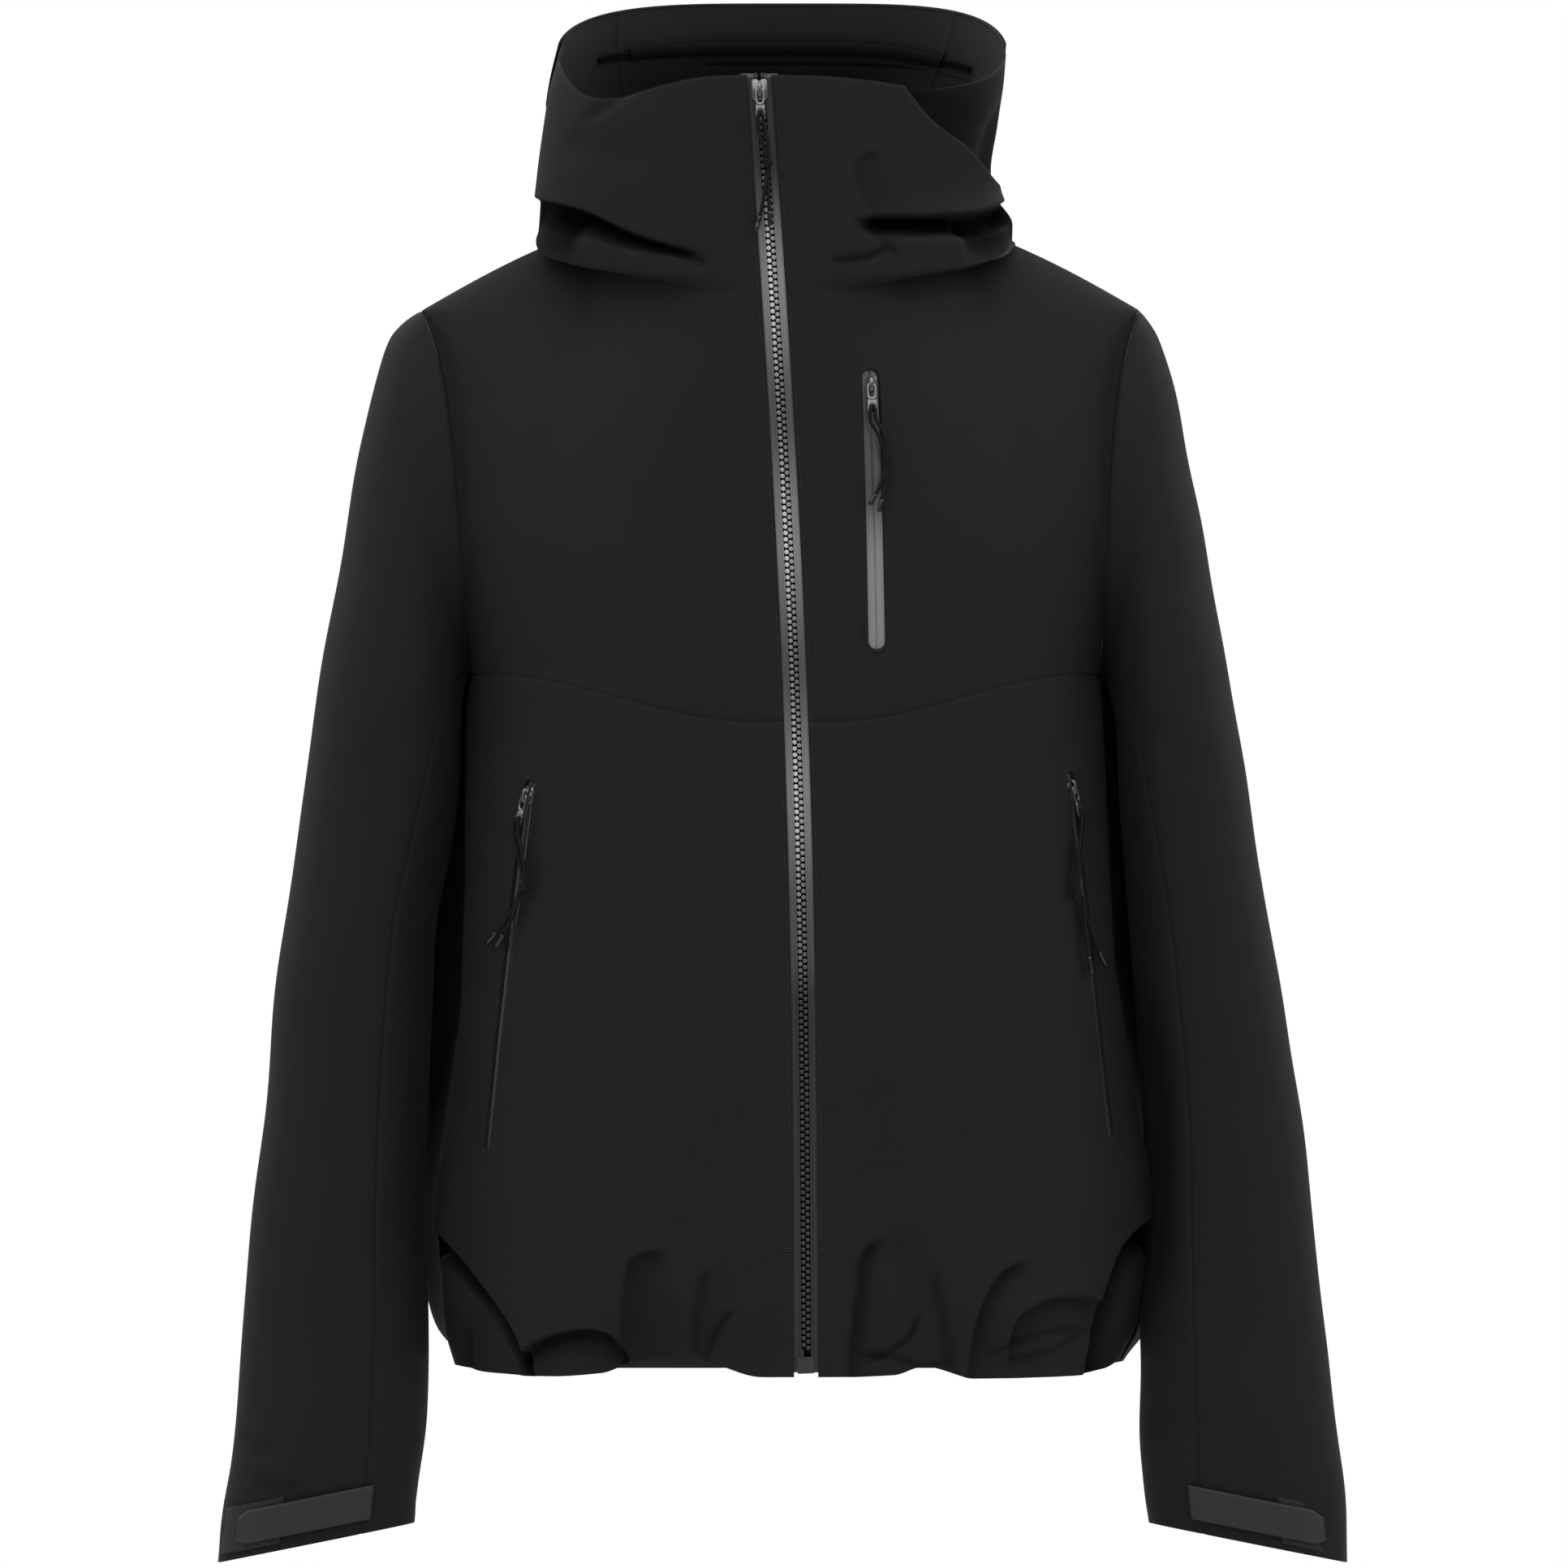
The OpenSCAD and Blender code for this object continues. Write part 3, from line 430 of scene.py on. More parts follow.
class Finish(Nodes):
    """Principled material with mottled colour and roughness, to which bumps and painted shade are added."""

    def __init__(self, name, color, roughness, slot=None, object_space=False, metallic=0.0, specular=0.4,
                 sheen=0.0, coat=0.0):
        self.material = bpy.data.materials.new(name)
        self.material.use_nodes = True
        super().__init__(self.material.node_tree)
        self.shader = self.tree.nodes["Principled BSDF"].inputs
        self.place = self.add("TexCoord")["Object" if object_space else "UV"]
        mottle = self.noise(38.0, 6.0, 0.6)
        dark, light = ((*(c * share for c in color), 1) for share in (0.88, 1.12))
        self.color = self.colors(mottle, dark, light)
        rough = self.remap(mottle, 0.3, 0.7, roughness - 0.05, roughness + 0.05, "LINEAR")
        for key, value in {"Base Color": self.color, "Roughness": rough, "Metallic": metallic,
                           "Specular IOR Level": specular, "Sheen Weight": sheen, "Sheen Roughness": 0.5,
                           "Coat Weight": coat, "Coat Roughness": 0.15}.items():
            self.feed(self.shader[key], value)

    def noise(self, scale, detail, roughness):
        sockets = {"Vector": self.place, "Scale": scale, "Detail": detail, "Roughness": roughness}
        return self.add("TexNoise", sockets)["Fac"]

    def bump(self, height, strength, distance):
        """Stacks one more bump under the normal of the material."""
        sockets = {"Strength": strength, "Distance": distance, "Height": height}
        if self.shader["Normal"].links:
            sockets["Normal"] = self.shader["Normal"].links[0].from_socket
        self.feed(self.shader["Normal"], self.add("Bump", sockets)["Normal"])
        return self

    def grain(self, size_mm, strength, distance=0.0001):
        return self.bump(self.noise(1000 / size_mm, 3.0, 0.55), strength, distance)

    def threads(self, pitch_mm, strength, distance=0.0001, directions=PARALLEL):
        waves = []
        for turn in directions:
            spun = self.add("Mapping", {"Vector": self.place, "Rotation": (0, 0, math.radians(turn))})
            sockets = {"Vector": spun["Vector"], "Scale": 1000 / pitch_mm / 3.2, "Distortion": 0.6,
                       "Detail Scale": 1.5}
            waves.append(self.add("TexWave", sockets)["Fac"])
        return self.bump(self.calc("MAXIMUM", *waves), strength, distance)

    def hooks(self):
        cells = self.add("TexVoronoi", {"Vector": self.place, "Scale": 900.0})
        return self.bump(cells["Distance"], 0.9, 0.0006)

    def shade_hollows(self, reach, specular):
        """Paints shade into the base colour and the specular: on cloth that closes in on itself within reach
        metres, found by ambient occlusion, and on cloth deep in a fold, from the fold_shade attribute.
        """
        near = self.add("AmbientOcclusion", {"Distance": reach}, samples=6)["AO"]
        folds = self.add("Attribute", attribute_name="fold_shade")["Fac"]
        clear = self.calc("MULTIPLY", self.remap(near, 0.25, 0.95, 0.75, 1.0, "LINEAR"),
                          self.calc("SUBTRACT", 1.0, folds))
        self.feed(self.shader["Specular IOR Level"], self.calc("MULTIPLY", clear, specular))
        self.feed(self.shader["Base Color"], self.colors(1.0, self.color, clear, "MULTIPLY"))
        return self

    def fade(self, low, high, color_low, swells=False):
        """Paints reflection into the base colour by height: it turns into color_low from the height high down
        to low, in metres.

        With swells the painted reflection also comes and goes in long soft waves, as on a tape that isn't
        quite flat."""
        z = self.height("Object")
        share = self.remap(z, low, high)
        if swells:
            turn = 2 * math.pi / REFLECTION_WAVE_LENGTH
            wave = self.calc("COSINE", self.calc("MULTIPLY_ADD", z, turn, turn * REFLECTION_WAVE_START))
            share = self.calc("MULTIPLY", self.calc("MULTIPLY_ADD", wave, 0.36, 0.64), share)
            share = self.calc("MULTIPLY", share, self.remap(z, 0.05, 0.005))
        self.feed(self.shader["Base Color"], self.colors(share, (*color_low, 1), self.color))
        return self


def fabric(name, color, roughness=0.68, weave_mm=0.9, weave=0.25, crinkle=0.35, sheen=0.02, specular=0.12,
           slot=None):
    finish = Finish(name, color, roughness, slot, specular=specular, sheen=sheen)
    # Every fabric carries painted shade in its hollows and folds.
    return finish.shade_hollows(0.016, specular).threads(weave_mm, weave).grain(9.0, crinkle, 0.0003).material


def cloth_tape(name, tone):
    # The grey of the main zip tape is painted reflection of the light from above: it dims below -0.37 m and
    # comes and goes in waves.
    finish = Finish(name, (tone, tone, tone * 1.03), 0.4, "zip_tape", specular=0.4, coat=0.15)
    return finish.fade(-0.42, -0.37, (0.027, 0.027, 0.028), True).threads(1.1, 0.25).material


def glossy_tape(name, tone, tone_low):
    # Below -0.18 m the tape turns to tone_low: on the chest tape this is a painted highlight on its lower
    # part, and the hand tapes keep one tone.
    finish = Finish(name, (tone, tone, tone * 1.03), 0.3, "zip_tape", specular=0.6, coat=0.6)
    finish.fade(-0.18, -0.13, (tone_low, tone_low, tone_low * 1.03))
    return finish.grain(14.0, 0.4, 0.0006).grain(1.0, 0.12).material


def moulded_teeth(name, tone):
    # The grey of the teeth is painted reflection of the light from above: it dims below -0.37 m and comes and
    # goes in waves.
    finish = Finish(name, (tone, tone, tone), 0.36, "zip_teeth", True)
    return finish.fade(-0.42, -0.37, (0.03, 0.03, 0.031), True).grain(0.8, 0.15).material


def plastic(name, color, roughness, slot=None):
    return Finish(name, color, roughness, slot, True, specular=0.5).grain(0.7, 0.2).material


def metal(name):
    finish = Finish(name, (0.16, 0.16, 0.165), 0.24, None, True, metallic=0.85, specular=0.6, coat=0.6)
    return finish.grain(0.6, 0.12).material


def braid(name):
    finish = Finish(name, (0.007, 0.007, 0.0075), 0.6, specular=0.14)
    return finish.threads(0.9, 0.8, 0.0003, DIAGONAL).material


shell_fabric = fabric("shell_fabric", (0.0100, 0.0100, 0.0105))
lining_fabric = fabric("lining_fabric", (0.042, 0.042, 0.0425), 0.75, 1.1, 0.4, 0.2, 0.03)
inner_fabric = fabric("inner_fabric", (0.010, 0.010, 0.0105), 0.7, 0.8, 0.3, 0.2, 0.03)
tab_fabric = fabric("tab_fabric", (0.020, 0.020, 0.0205), 0.52, 0.8, 0.12, 0.15, 0.03, 0.3)
facing_fabric = fabric("brushed_facing", (0.02, 0.02, 0.021), 0.8, 1.2, 0.5, 0.3, 0.4)
stitch_thread = fabric("stitch_thread", (0.010, 0.010, 0.0105), 0.6, 0.4, 0.3, 0.1, 0.05, 0.4, "shell_fabric")
# One tape and one kind of tooth on both sides of the main zip, in lighter and darker copies of painted
# reflection.
zip_tapes_painted_reflection = {-1: cloth_tape("zip_tape_right", 0.19), 1: cloth_tape("zip_tape_left", 0.22)}
chest_tape = glossy_tape("chest_zip_tape", 0.06, 0.2)
hand_tape = glossy_tape("hand_zip_tape", 0.014, 0.014)
zip_teeth = {-1: moulded_teeth("zip_teeth_right", 0.5), 1: moulded_teeth("zip_teeth_left", 0.28)}
zip_coil = plastic("zip_coil", (0.02, 0.02, 0.02), 0.4)
trim_plastic = plastic("trim_plastic", (0.02, 0.02, 0.02), 0.45)
tip_plastic = plastic("cord_tip_plastic", (0.008, 0.008, 0.0085), 0.25, "trim_plastic")
slider_metal = metal("slider_metal")
cord_weave = braid("cord")
hook_patch = Finish("hook_patch", (0.011, 0.011, 0.011), 0.7, specular=0.35).hooks().material
webbing = Finish("webbing", (0.015, 0.015, 0.016), 0.7, sheen=0.1).threads(1.4, 0.8, 0.0003).material


def finish_piece(obj, body, *nodes, weights=None, slot=None):
    """obj rides on its body and stands for the CAD nodes, which it hides. slot is not used.

    With weights, obj is not attached to a body: its transform is baked into its mesh."""
    if weights is None:
        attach(obj, body)
    else:
        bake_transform(obj)
    if nodes:
        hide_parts(*nodes)


# ---- zip lines, taken from the CAD part


def node_points(node):
    mesh = frame["nodes"][node].data
    co = np.zeros(len(mesh.vertices) * 3, np.float32)
    mesh.vertices.foreach_get("co", co)
    return co.reshape(-1, 3).astype(float) / MM


class ZipFrame:
    """Frame of a straight zip: x across, y into the jacket, z up the line from its low end."""

    def __init__(self, prefix, tapes, below, above):
        self.z = -unit(joints[prefix + "_zip_slide"]["axis"])
        self.x = -unit(joints[prefix + "_pull_swing"]["axis"])
        self.y = np.cross(self.z, self.x)
        p = np.concatenate([node_points(t) for t in tapes])
        local = np.stack([p @ self.x, p @ self.y, p @ self.z], -1)
        low, high = local.min(0), local.max(0)
        mid = (low + high) / 2
        self.length = high[2] - low[2] - below - above
        self.low = self.x * mid[0] + self.y * mid[1] + self.z * (low[2] + below)
        self.hinge = np.array(joints[prefix + "_pull_swing"]["pos_m"]) / MM
        self.hole = np.array(joints[prefix + "_cord_swing"]["pos_m"]) / MM

    def to_local(self, p):
        d = np.asarray(p) - self.low
        return np.stack([d @ self.x, d @ self.y, d @ self.z], -1)

    def place(self, p, z0=0.0):
        p = np.asarray(p, float)
        return self.low + p[..., :1] * self.x + p[..., 1:2] * self.y + (p[..., 2:] + z0) * self.z


BOX_H = 9.0  # height of the box at the low end of the main zip
TAPE_RUN_OVER = 3.0  # how far the tapes of a pocket zip run on past its slot
main_zip = ZipFrame("main", ("main_zip_tape_right", "main_zip_tape_left"), -BOX_H - 0.5, 0)
chest_zip = ZipFrame("chest", ("chest_zip_tape",), TAPE_RUN_OVER, TAPE_RUN_OVER)
hand_zips = {side: ZipFrame("hand_" + side, ("hand_zip_tape_" + side,), TAPE_RUN_OVER, TAPE_RUN_OVER)
             for _, side in SIDES}
CHEST_WINDOW, HAND_WINDOW = 5.4, 4.0  # half widths of the pocket slots
WINDOW_HALF = 6.65  # from the middle of the main zip to the edge of the fabric beside it
EDGE_STAND = 2.2  # how far that edge stands in front of the middle of the zip
ZIP_BOW = 7.5  # the closed zip sags this far to the wearer's left of the straight line
HEM_Z = main_zip.low[2]


def zip_centre(z):
    """x and y of the middle of the main zip at height z."""
    t = (z - main_zip.low[2]) / (main_zip.length * main_zip.z[2])
    x, y = (main_zip.low[axis] + t * main_zip.length * main_zip.z[axis] for axis in (0, 1))
    return x + ZIP_BOW * np.sin(math.pi * np.clip(t, 0, 1)), y


def on_zip(x, y, z):
    """Point beside the sagging main zip: x across it, y into the jacket, z the height."""
    zx, zy = zip_centre(z)
    return xyz(zx + x, zy + y, z)


# ---- body surface

SIDE_Y = 8.0  # depth of the seams at the sides, the shoulders and the neck
SEAM_GAP = 0.35  # half of what is left free between the front and the back at a side seam
SECTION = 2 / 2.6  # exponent of the rounded section of the body
CHEST_Z, FULLEST_Z = -239.0, -525.0  # heights of the side end of the chest seam and of the widest section
CHEST_SEAM_LOW = -265.0  # height of the chest seam at the zip
CHEST_HALF, FULL_HALF, HEM_HALF = 174.0, 186.0, 178.0
LEAN = 7.0  # the hem lies this far to the wearer's left of the neck
BACK_DEPTH = 107.0
SHOULDER_HALF, SHOULDER_DROP = 199.0, 37.0
SHOULDER_CAP = 11.0  # the armhole seam turns this far outward at its top
NECK_HALF, NECK_SIDE, NECK_FRONT = 98.0, 12.0, -29.0  # half width, and heights at the side and the zip
NECK_BACK = 72.0  # depth of the neck seam at the middle of the back
ARMHOLE_HALF = 58.0
# How far the gathered body stands out beyond its side seams, by height
FULLNESS = {-1: ((-239, 0), (-262, 2.5), (-300, 1.5), (-360, 0), (-418, 0), (-450, 3), (-495, 8), (-517, 10),
                 (-540, 11), (-603, 14), (-626, 9)),
            1: ((-400, 0), (-418, 2), (-450, 5), (-495, 10), (-517, 14), (-540, 14), (-603, 13), (-626, 4))}
# How far the fullness of the back reaches out behind the side seams, by height
BACK_HALF = {-1: ((-239, 183), (-262, 188), (-300, 192), (-360, 196), (-560, 199), (-585, 196), (-603, 191),
                  (-626, 176)),
             1: ((-239, 184), (-262, 189), (-300, 193), (-360, 197), (-500, 203.5), (-560, 205), (-603, 203),
                 (-626, 190))}
# Height of the hem edge across the front
HEM_LINE = ((-186, -620), (-163, -625), (-127, -627), (-100, -625), (-80, -618), (-60, -616.5),
            (-46, -617.5), (-10, -627), (30, -627), (62, -626), (80, -621), (107, -628), (161, -627),
            (179, -624), (200, -612))


def lean_at(z):
    return LEAN * np.clip(z / HEM_Z, 0, 1)


def half_at(z):
    above = mix(CHEST_HALF, FULL_HALF, (z - CHEST_Z) / (FULLEST_Z - CHEST_Z))
    below = mix(FULL_HALF, HEM_HALF, ease(FULLEST_Z, HEM_Z, z))
    return np.where(z > FULLEST_Z, above, below)


def front_arc(s, z, u):
    """Body section at height z, from the fabric edge by the zip at u 0 to the side seam at u 1."""
    a = u * math.pi / 2
    zx, zy = zip_centre(z)
    full = profile(FULLNESS[s], z)
    side = s * half_at(z) + lean_at(z) + s * full * ease(0.74, 0.96, u)
    x = mix(zx + s * WINDOW_HALF, side, power(np.sin(a), SECTION))
    y = mix(SIDE_Y - SEAM_GAP, zy - EDGE_STAND, power(np.cos(a), SECTION))
    return xyz(x, y, z)


def chest_seam(u):
    return mix(CHEST_SEAM_LOW, CHEST_Z, ease(0.1, 0.95, power(np.sin(u * math.pi / 2), SECTION)))


def armhole_x(s, up):
    straight = mix(s * CHEST_HALF + lean_at(CHEST_Z), s * (SHOULDER_HALF - SHOULDER_CAP), up)
    return straight + s * SHOULDER_CAP * up ** 7


def armhole(s, turn):
    """Armhole seam from its lowest point at turn 0 to the shoulder tip at turn pi, over the front."""
    up = (1 - np.cos(turn)) / 2
    return xyz(armhole_x(s, up), SIDE_Y - ARMHOLE_HALF * np.sin(turn), mix(CHEST_Z, -SHOULDER_DROP, up))


def shoulder_line(s, u):
    return xyz(s * mix(NECK_HALF, SHOULDER_HALF, u), SIDE_Y,
               mix(NECK_SIDE, -SHOULDER_DROP, u) + 3 * np.sin(math.pi * u))


def neck_front(s, u):
    a = u * math.pi / 2
    zx, zy = zip_centre(NECK_FRONT)
    return xyz(mix(zx + s * WINDOW_HALF, s * NECK_HALF, np.sin(a)),
               mix(SIDE_Y, zy - EDGE_STAND, np.cos(a)),
               mix(NECK_SIDE, NECK_FRONT, power(np.cos(a), 0.8)))


def zip_edge(s, z):
    zx, zy = zip_centre(z)
    return xyz(zx + s * WINDOW_HALF, zy - EDGE_STAND, z)


def section_y(s, x, z):
    """Depth of the chest at x and z: a rounded section that passes through the armhole seam."""
    zx, zy = zip_centre(z)
    up = np.clip((z - CHEST_Z) / (-SHOULDER_DROP - CHEST_Z), 0, 1)
    side = np.where(up > 0, armhole_x(s, up), s * half_at(z) + lean_at(z))
    q = ARMHOLE_HALF * 2 * np.sqrt(up * (1 - up)) / (SIDE_Y - zy + EDGE_STAND)
    r = (x - zx - s * WINDOW_HALF) / (side - zx - s * WINDOW_HALF)
    r = np.clip(r, 0, 1) * power(1 - q ** (2 / SECTION), SECTION / 2)
    return mix(SIDE_Y - SEAM_GAP, zy - EDGE_STAND, power(1 - r ** (2 / SECTION), SECTION / 2))


def eased(curve, u):
    """A curve with its corners rounded off between its fixed ends."""
    offsets = np.linspace(-0.3, 0.3, 17)
    share = bump(offsets, 0, 0.17)
    return sum(w * curve(u + d * 4 * u * (1 - u)) for d, w in zip(offsets, share)) / share.sum()


def patch(low, top, left, right, u, v, fade):
    """Panel between four seams. Its sides are drawn to the points left and right, less towards its middle."""
    zero, one, u_, v_ = np.zeros_like(u), np.ones_like(u), u[..., None], v[..., None]
    p = mix(low(u), mix(eased(top, u), top(u), v_ ** 10), v_)
    p = p + (1 - u_) ** fade * (left - mix(low(zero), top(zero), v_))
    return p + u_ ** fade * (right - mix(low(one), top(one), v_))


def front_yoke(s, u, v):
    """Upper front panel, from the chest seam to the neck and the shoulder."""
    def low(u):
        return front_arc(s, chest_seam(u), u)

    def top(u):
        neck = neck_front(s, np.minimum(2 * u, 1))
        return np.where((u < 0.5)[..., None], neck, shoulder_line(s, np.maximum(2 * u - 1, 0)))

    def end_drop(u):
        end = top(u)
        return end[..., 1] - section_y(s, end[..., 0], end[..., 2])

    zip_side = zip_edge(s, mix(chest_seam(0), NECK_FRONT, v))
    p = patch(low, top, zip_side, armhole(s, math.pi * v), u, v, 2)
    drop = eased(end_drop, u)
    p[..., 1] = section_y(s, p[..., 0], p[..., 2]) + v ** 2.5 * drop + v ** 12 * (end_drop(u) - drop)
    return p


def near_hem(v):
    """1 at the hem, falling to 0 at a third of the way up a panel."""
    return np.clip(1 - v / 0.3, 0, 1) ** 2


HEM_PULL = 7.0  # how far the cord draws the front of the hem in


def front_body(s, u, v):
    """Lower front panel, from the hem to the chest seam."""
    z = mix(HEM_Z, chest_seam(u), v)
    p = front_arc(s, z, u)
    p[..., 2] += (profile(HEM_LINE, p[..., 0]) - HEM_Z) * near_hem(v)
    p[..., 1] += HEM_PULL * ease(-585, -626, z) * ease(0.0, 0.2, u)
    return p


def back_arc(z, u):
    """Back half of the body section, u from the wearer's right side seam to the left one."""
    a = math.pi * (u - 0.5)
    s = np.where(u < 0.5, -1, 1)
    fullness, full = (np.where(u < 0.5, profile(t[-1], z), profile(t[1], z)) for t in (FULLNESS, BACK_HALF))
    seam = half_at(z) + s * lean_at(z) + fullness
    from_seam = 0.5 - np.abs(u - 0.5)
    pleat = bump(from_seam, 0.08, 0.045) * ease(0, 0.03, from_seam)
    return xyz(s * mix(seam * power(np.abs(np.sin(a)), SECTION), full, pleat),
               SIDE_Y + SEAM_GAP + BACK_DEPTH * power(np.abs(np.cos(a)), SECTION), z)


def back_seam(u):
    return CHEST_Z - 14 * np.sin(math.pi * u) ** 2


def neck_back(u):
    a = math.pi * (u - 0.5)
    return xyz(NECK_HALF * np.sin(a), mix(SIDE_Y, NECK_BACK, np.cos(a)), NECK_SIDE + 6 * np.cos(a))


BACK_BULGE = 11.0  # how far the shoulder blades push the back yoke out


def back_yoke(u, v):
    """Upper back panel, from the wearer's right to the left."""
    def low(u):
        return back_arc(back_seam(u), u)

    def top(u):
        right = shoulder_line(-1, np.clip(1 - 4 * u, 0, 1))
        left = shoulder_line(1, np.clip(4 * u - 3, 0, 1))
        mid = neck_back(np.clip(2 * u - 0.5, 0, 1))
        return np.where((u < 0.25)[..., None], right, np.where((u > 0.75)[..., None], left, mid))

    def side(s):
        p = armhole(s, math.pi * v)
        p[..., 1] = 2 * SIDE_Y - p[..., 1]
        return p

    p = patch(low, top, side(-1), side(1), u, v, 3)
    p[..., 1] += BACK_BULGE * 16 * u * (1 - u) * v * (1 - v)
    return p


HEM_SIDE_RISE = 6.0  # the hem lies this much higher at the side seams


def back_body(u, v):
    """Lower back panel, from the hem to the back seam."""
    p = back_arc(mix(HEM_Z, back_seam(u), v), u)
    p[..., 2] += near_hem(v) * mix(HEM_SIDE_RISE, 0, ease(0, 0.3, 0.5 - np.abs(u - 0.5)))
    return p


# Folds gathered over the hem cord, in the front view. Creases: depth, width, darkness of the painted shade,
# and path.
HEM_CREASES = (
    (2, 2.2, 0.4, ((-25, -588), (-33, -598), (-44, -622))),
    (2, 2.0, 0.38, ((78, -590), (70, -606), (58, -614), (40, -615))),
    (2, 3.5, 0.25, ((82, -562), (89, -592), (95, -650))),
    (2, 8, 0.1, ((60, -545), (70, -566), (80, -600))),
    (2, 2.2, 0.25, ((108, -618), (132, -608), (150, -603), (172, -602))),
    (2, 2.5, 0.4, ((-174, -596), (-173, -612), (-171, -650))),
    (2, 2, 0.4, ((44, -619), (60, -616), (78, -621), (96, -618))),
    (1.5, 2, 0.25, ((120, -620), (150, -613), (176, -598))),
)
# Shelves: rise, reach, sink, darkness of the painted shade, width of the hollow at both ends, and path
HEM_SHELVES = (
    (3, 16, 12, 0.82, (11, 5), ((-215, -525), (-190, -549), (-163, -580), (-141, -614), (-132, -640))),
    (3, 9, 7, 0.58, (10, 12), ((-148, -626), (-136, -609), (-116, -602), (-96, -603), (-80, -624))),
    (1.5, 10, 3, 0.27, (34, 24), ((-88, -650), (-87, -620), (-87, -585), (-82, -562), (-60, -556))),
    (1.5, 10, 2, 0.22, (11, 9), ((-50, -618), (-48, -590), (-44, -566))),
    (2, 12, 4, 0.42, (12, 6), ((36, -650), (38, -612), (41, -585), (47, -556), (58, -548))),
    (2, 10, 4, 0.38, (15, 7), ((101, -650), (104, -616), (111, -588), (124, -568), (138, -562))),
    (2, 9, 4, 0.34, (16, 12), ((124, -628), (132, -594), (150, -584), (180, -586))),
    (3, 15, 13, 0.86, (9, 12), ((166, -650), (171, -607), (179, -580), (191, -553), (225, -530))),
)


def quiet(x, z):
    """0 close to a pocket or to the main zip, where the fabric is held flat, and 1 away from them."""
    calm = 1 - bump(x, zip_centre(z)[0], 16)
    for line in (chest_zip, hand_zips["right"], hand_zips["left"]):
        a, b = line.low, line.low + line.z * line.length
        r, _ = beside(x, z, ((a[0], a[2]), ((a[0] + b[0]) / 2, (a[2] + b[2]) / 2), (b[0], b[2])))
        calm = calm * (1 - np.exp(-((r / 18) ** 2)))
    return calm


def front_relief(p, seed):
    """Height of the folds and swells of a front panel, and the shade painted into its folds."""
    x, z = p[..., 0], p[..., 2]
    height, shade = folded(p, HEM_CREASES, HEM_SHELVES)
    height = height * mix(0.35, 1, ease(-630, -606, z))
    puckers = 0.9 * np.sin(x / 4.6 + 2 * np.sin(x / 23)) * ease(-598, -622, z)
    return (undulate(p, seed, 0.7) + puckers) * quiet(x, z) + height, shade


def pinned(*shares):
    """1 inside a panel and 0 on the seams where a share is 0 or 1."""
    return np.prod([ease(0, 0.03, t) * ease(1, 0.97, t) for t in shares], axis=0)


def raised(p, flip, height):
    return p + grid_normals(p, flip) * height[..., None]


def in_window(line, half_w):
    """Test for points inside the slot of a pocket zip."""
    def test(p):
        q = line.to_local(p)
        z = np.clip(q[..., 2], half_w, line.length - half_w)
        return (np.hypot(q[..., 0], q[..., 2] - z) < half_w) & (np.abs(q[..., 1]) < 20)
    return test


front_grids, shades = {}, {}
for s, side in SIDES:
    flip = s < 0
    chest_u = [(0.09, 0.20, 0.0032)] if s > 0 else []
    chest_v = [(0.12, 0.18, 0.004), (0.78, 0.84, 0.004)] if s > 0 else []
    u, v = lattice(spread(90, *chest_u), spread(90, *chest_v))
    p = front_yoke(s, u, v)
    height, shades["front_yoke_" + side] = front_relief(p, 11 + s)
    front_grids["front_yoke_" + side] = rolled(raised(p, flip, height * pinned(u, v)), flip, "j0 i1")
    pocket_u = (0.49, 0.74, 0.005) if s < 0 else (0.60, 0.83, 0.005)
    body_v = (0, 0.24, 0.004), (0.29, 0.36, 0.003), (0.83, 0.89, 0.003)
    u, v = lattice(spread(170, pocket_u), spread(130, *body_v))
    p = front_body(s, u, v)
    height, shades["front_body_" + side] = front_relief(p, 21 + s)
    height = height * ease(1, 0.97, v) * ease(1, 0.985, u)
    front_grids["front_body_" + side] = rolled(raised(p, flip, height), flip, "j1 i1")

front_windows = {"front_yoke_left": in_window(chest_zip, CHEST_WINDOW + 0.3),
                 "front_body_right": in_window(hand_zips["right"], HAND_WINDOW + 0.3),
                 "front_body_left": in_window(hand_zips["left"], HAND_WINDOW + 0.3)}
for name, p in front_grids.items():
    cut = front_windows.get(name)
    piece = sheet(name + "_panel", p, name.endswith("right"), shell_fabric,
                  keep=(lambda c, cut=cut: ~cut(c)) if cut else None, shade=shades[name])
    finish_piece(piece, "shell", name)

u, v = lattice(spread(140), spread(70))
p = back_yoke(u, v)
p = raised(p, True, undulate(p, 31, 1.6) * pinned(u, v))
finish_piece(sheet("back_yoke_panel", rolled(p, True, "i0 i1 j0"), True, shell_fabric), "shell", "back_yoke")
u, v = lattice(spread(160), spread(100))
p = back_body(u, v)
gathers = 2.6 * np.sin(p[..., 0] / 6.5 + 2 * np.sin(p[..., 0] / 31)) * ease(0.3, 0.0, v) * np.sin(math.pi * u)
swells = undulate(p, 41, 2.0) * np.sin(math.pi * u) * ease(1, 0.97, v)
p = raised(p, True, swells + gathers)
finish_piece(sheet("back_body_panel", rolled(p, True, "i0 i1 j1"), True, shell_fabric), "shell", "back_body")

# ---- hood and collar

# Side profile of the hood from the neck seam up: share of the height, distance out, depth and height
HOOD_SIDE = {-1: ((0, 98, 8, 12), (0.1, 134, 4, -2), (0.22, 136.5, 0, 8), (0.45, 135, -4, 30),
                  (0.65, 133, -6, 55), (0.83, 129.5, -8, 80), (1, 124, -10, 101)),
             1: ((0, 98, 8, 12), (0.1, 129, 4, -2), (0.22, 129, 0, 8), (0.34, 120, -2, 22),
                 (0.46, 117.5, -4, 34), (0.65, 121, -6, 57), (0.83, 124, -8, 80), (1, 125.5, -10, 101))}
RIM_CORNER = {-1: 0.55, 1: 0.44}  # how square the rim is at its back corners
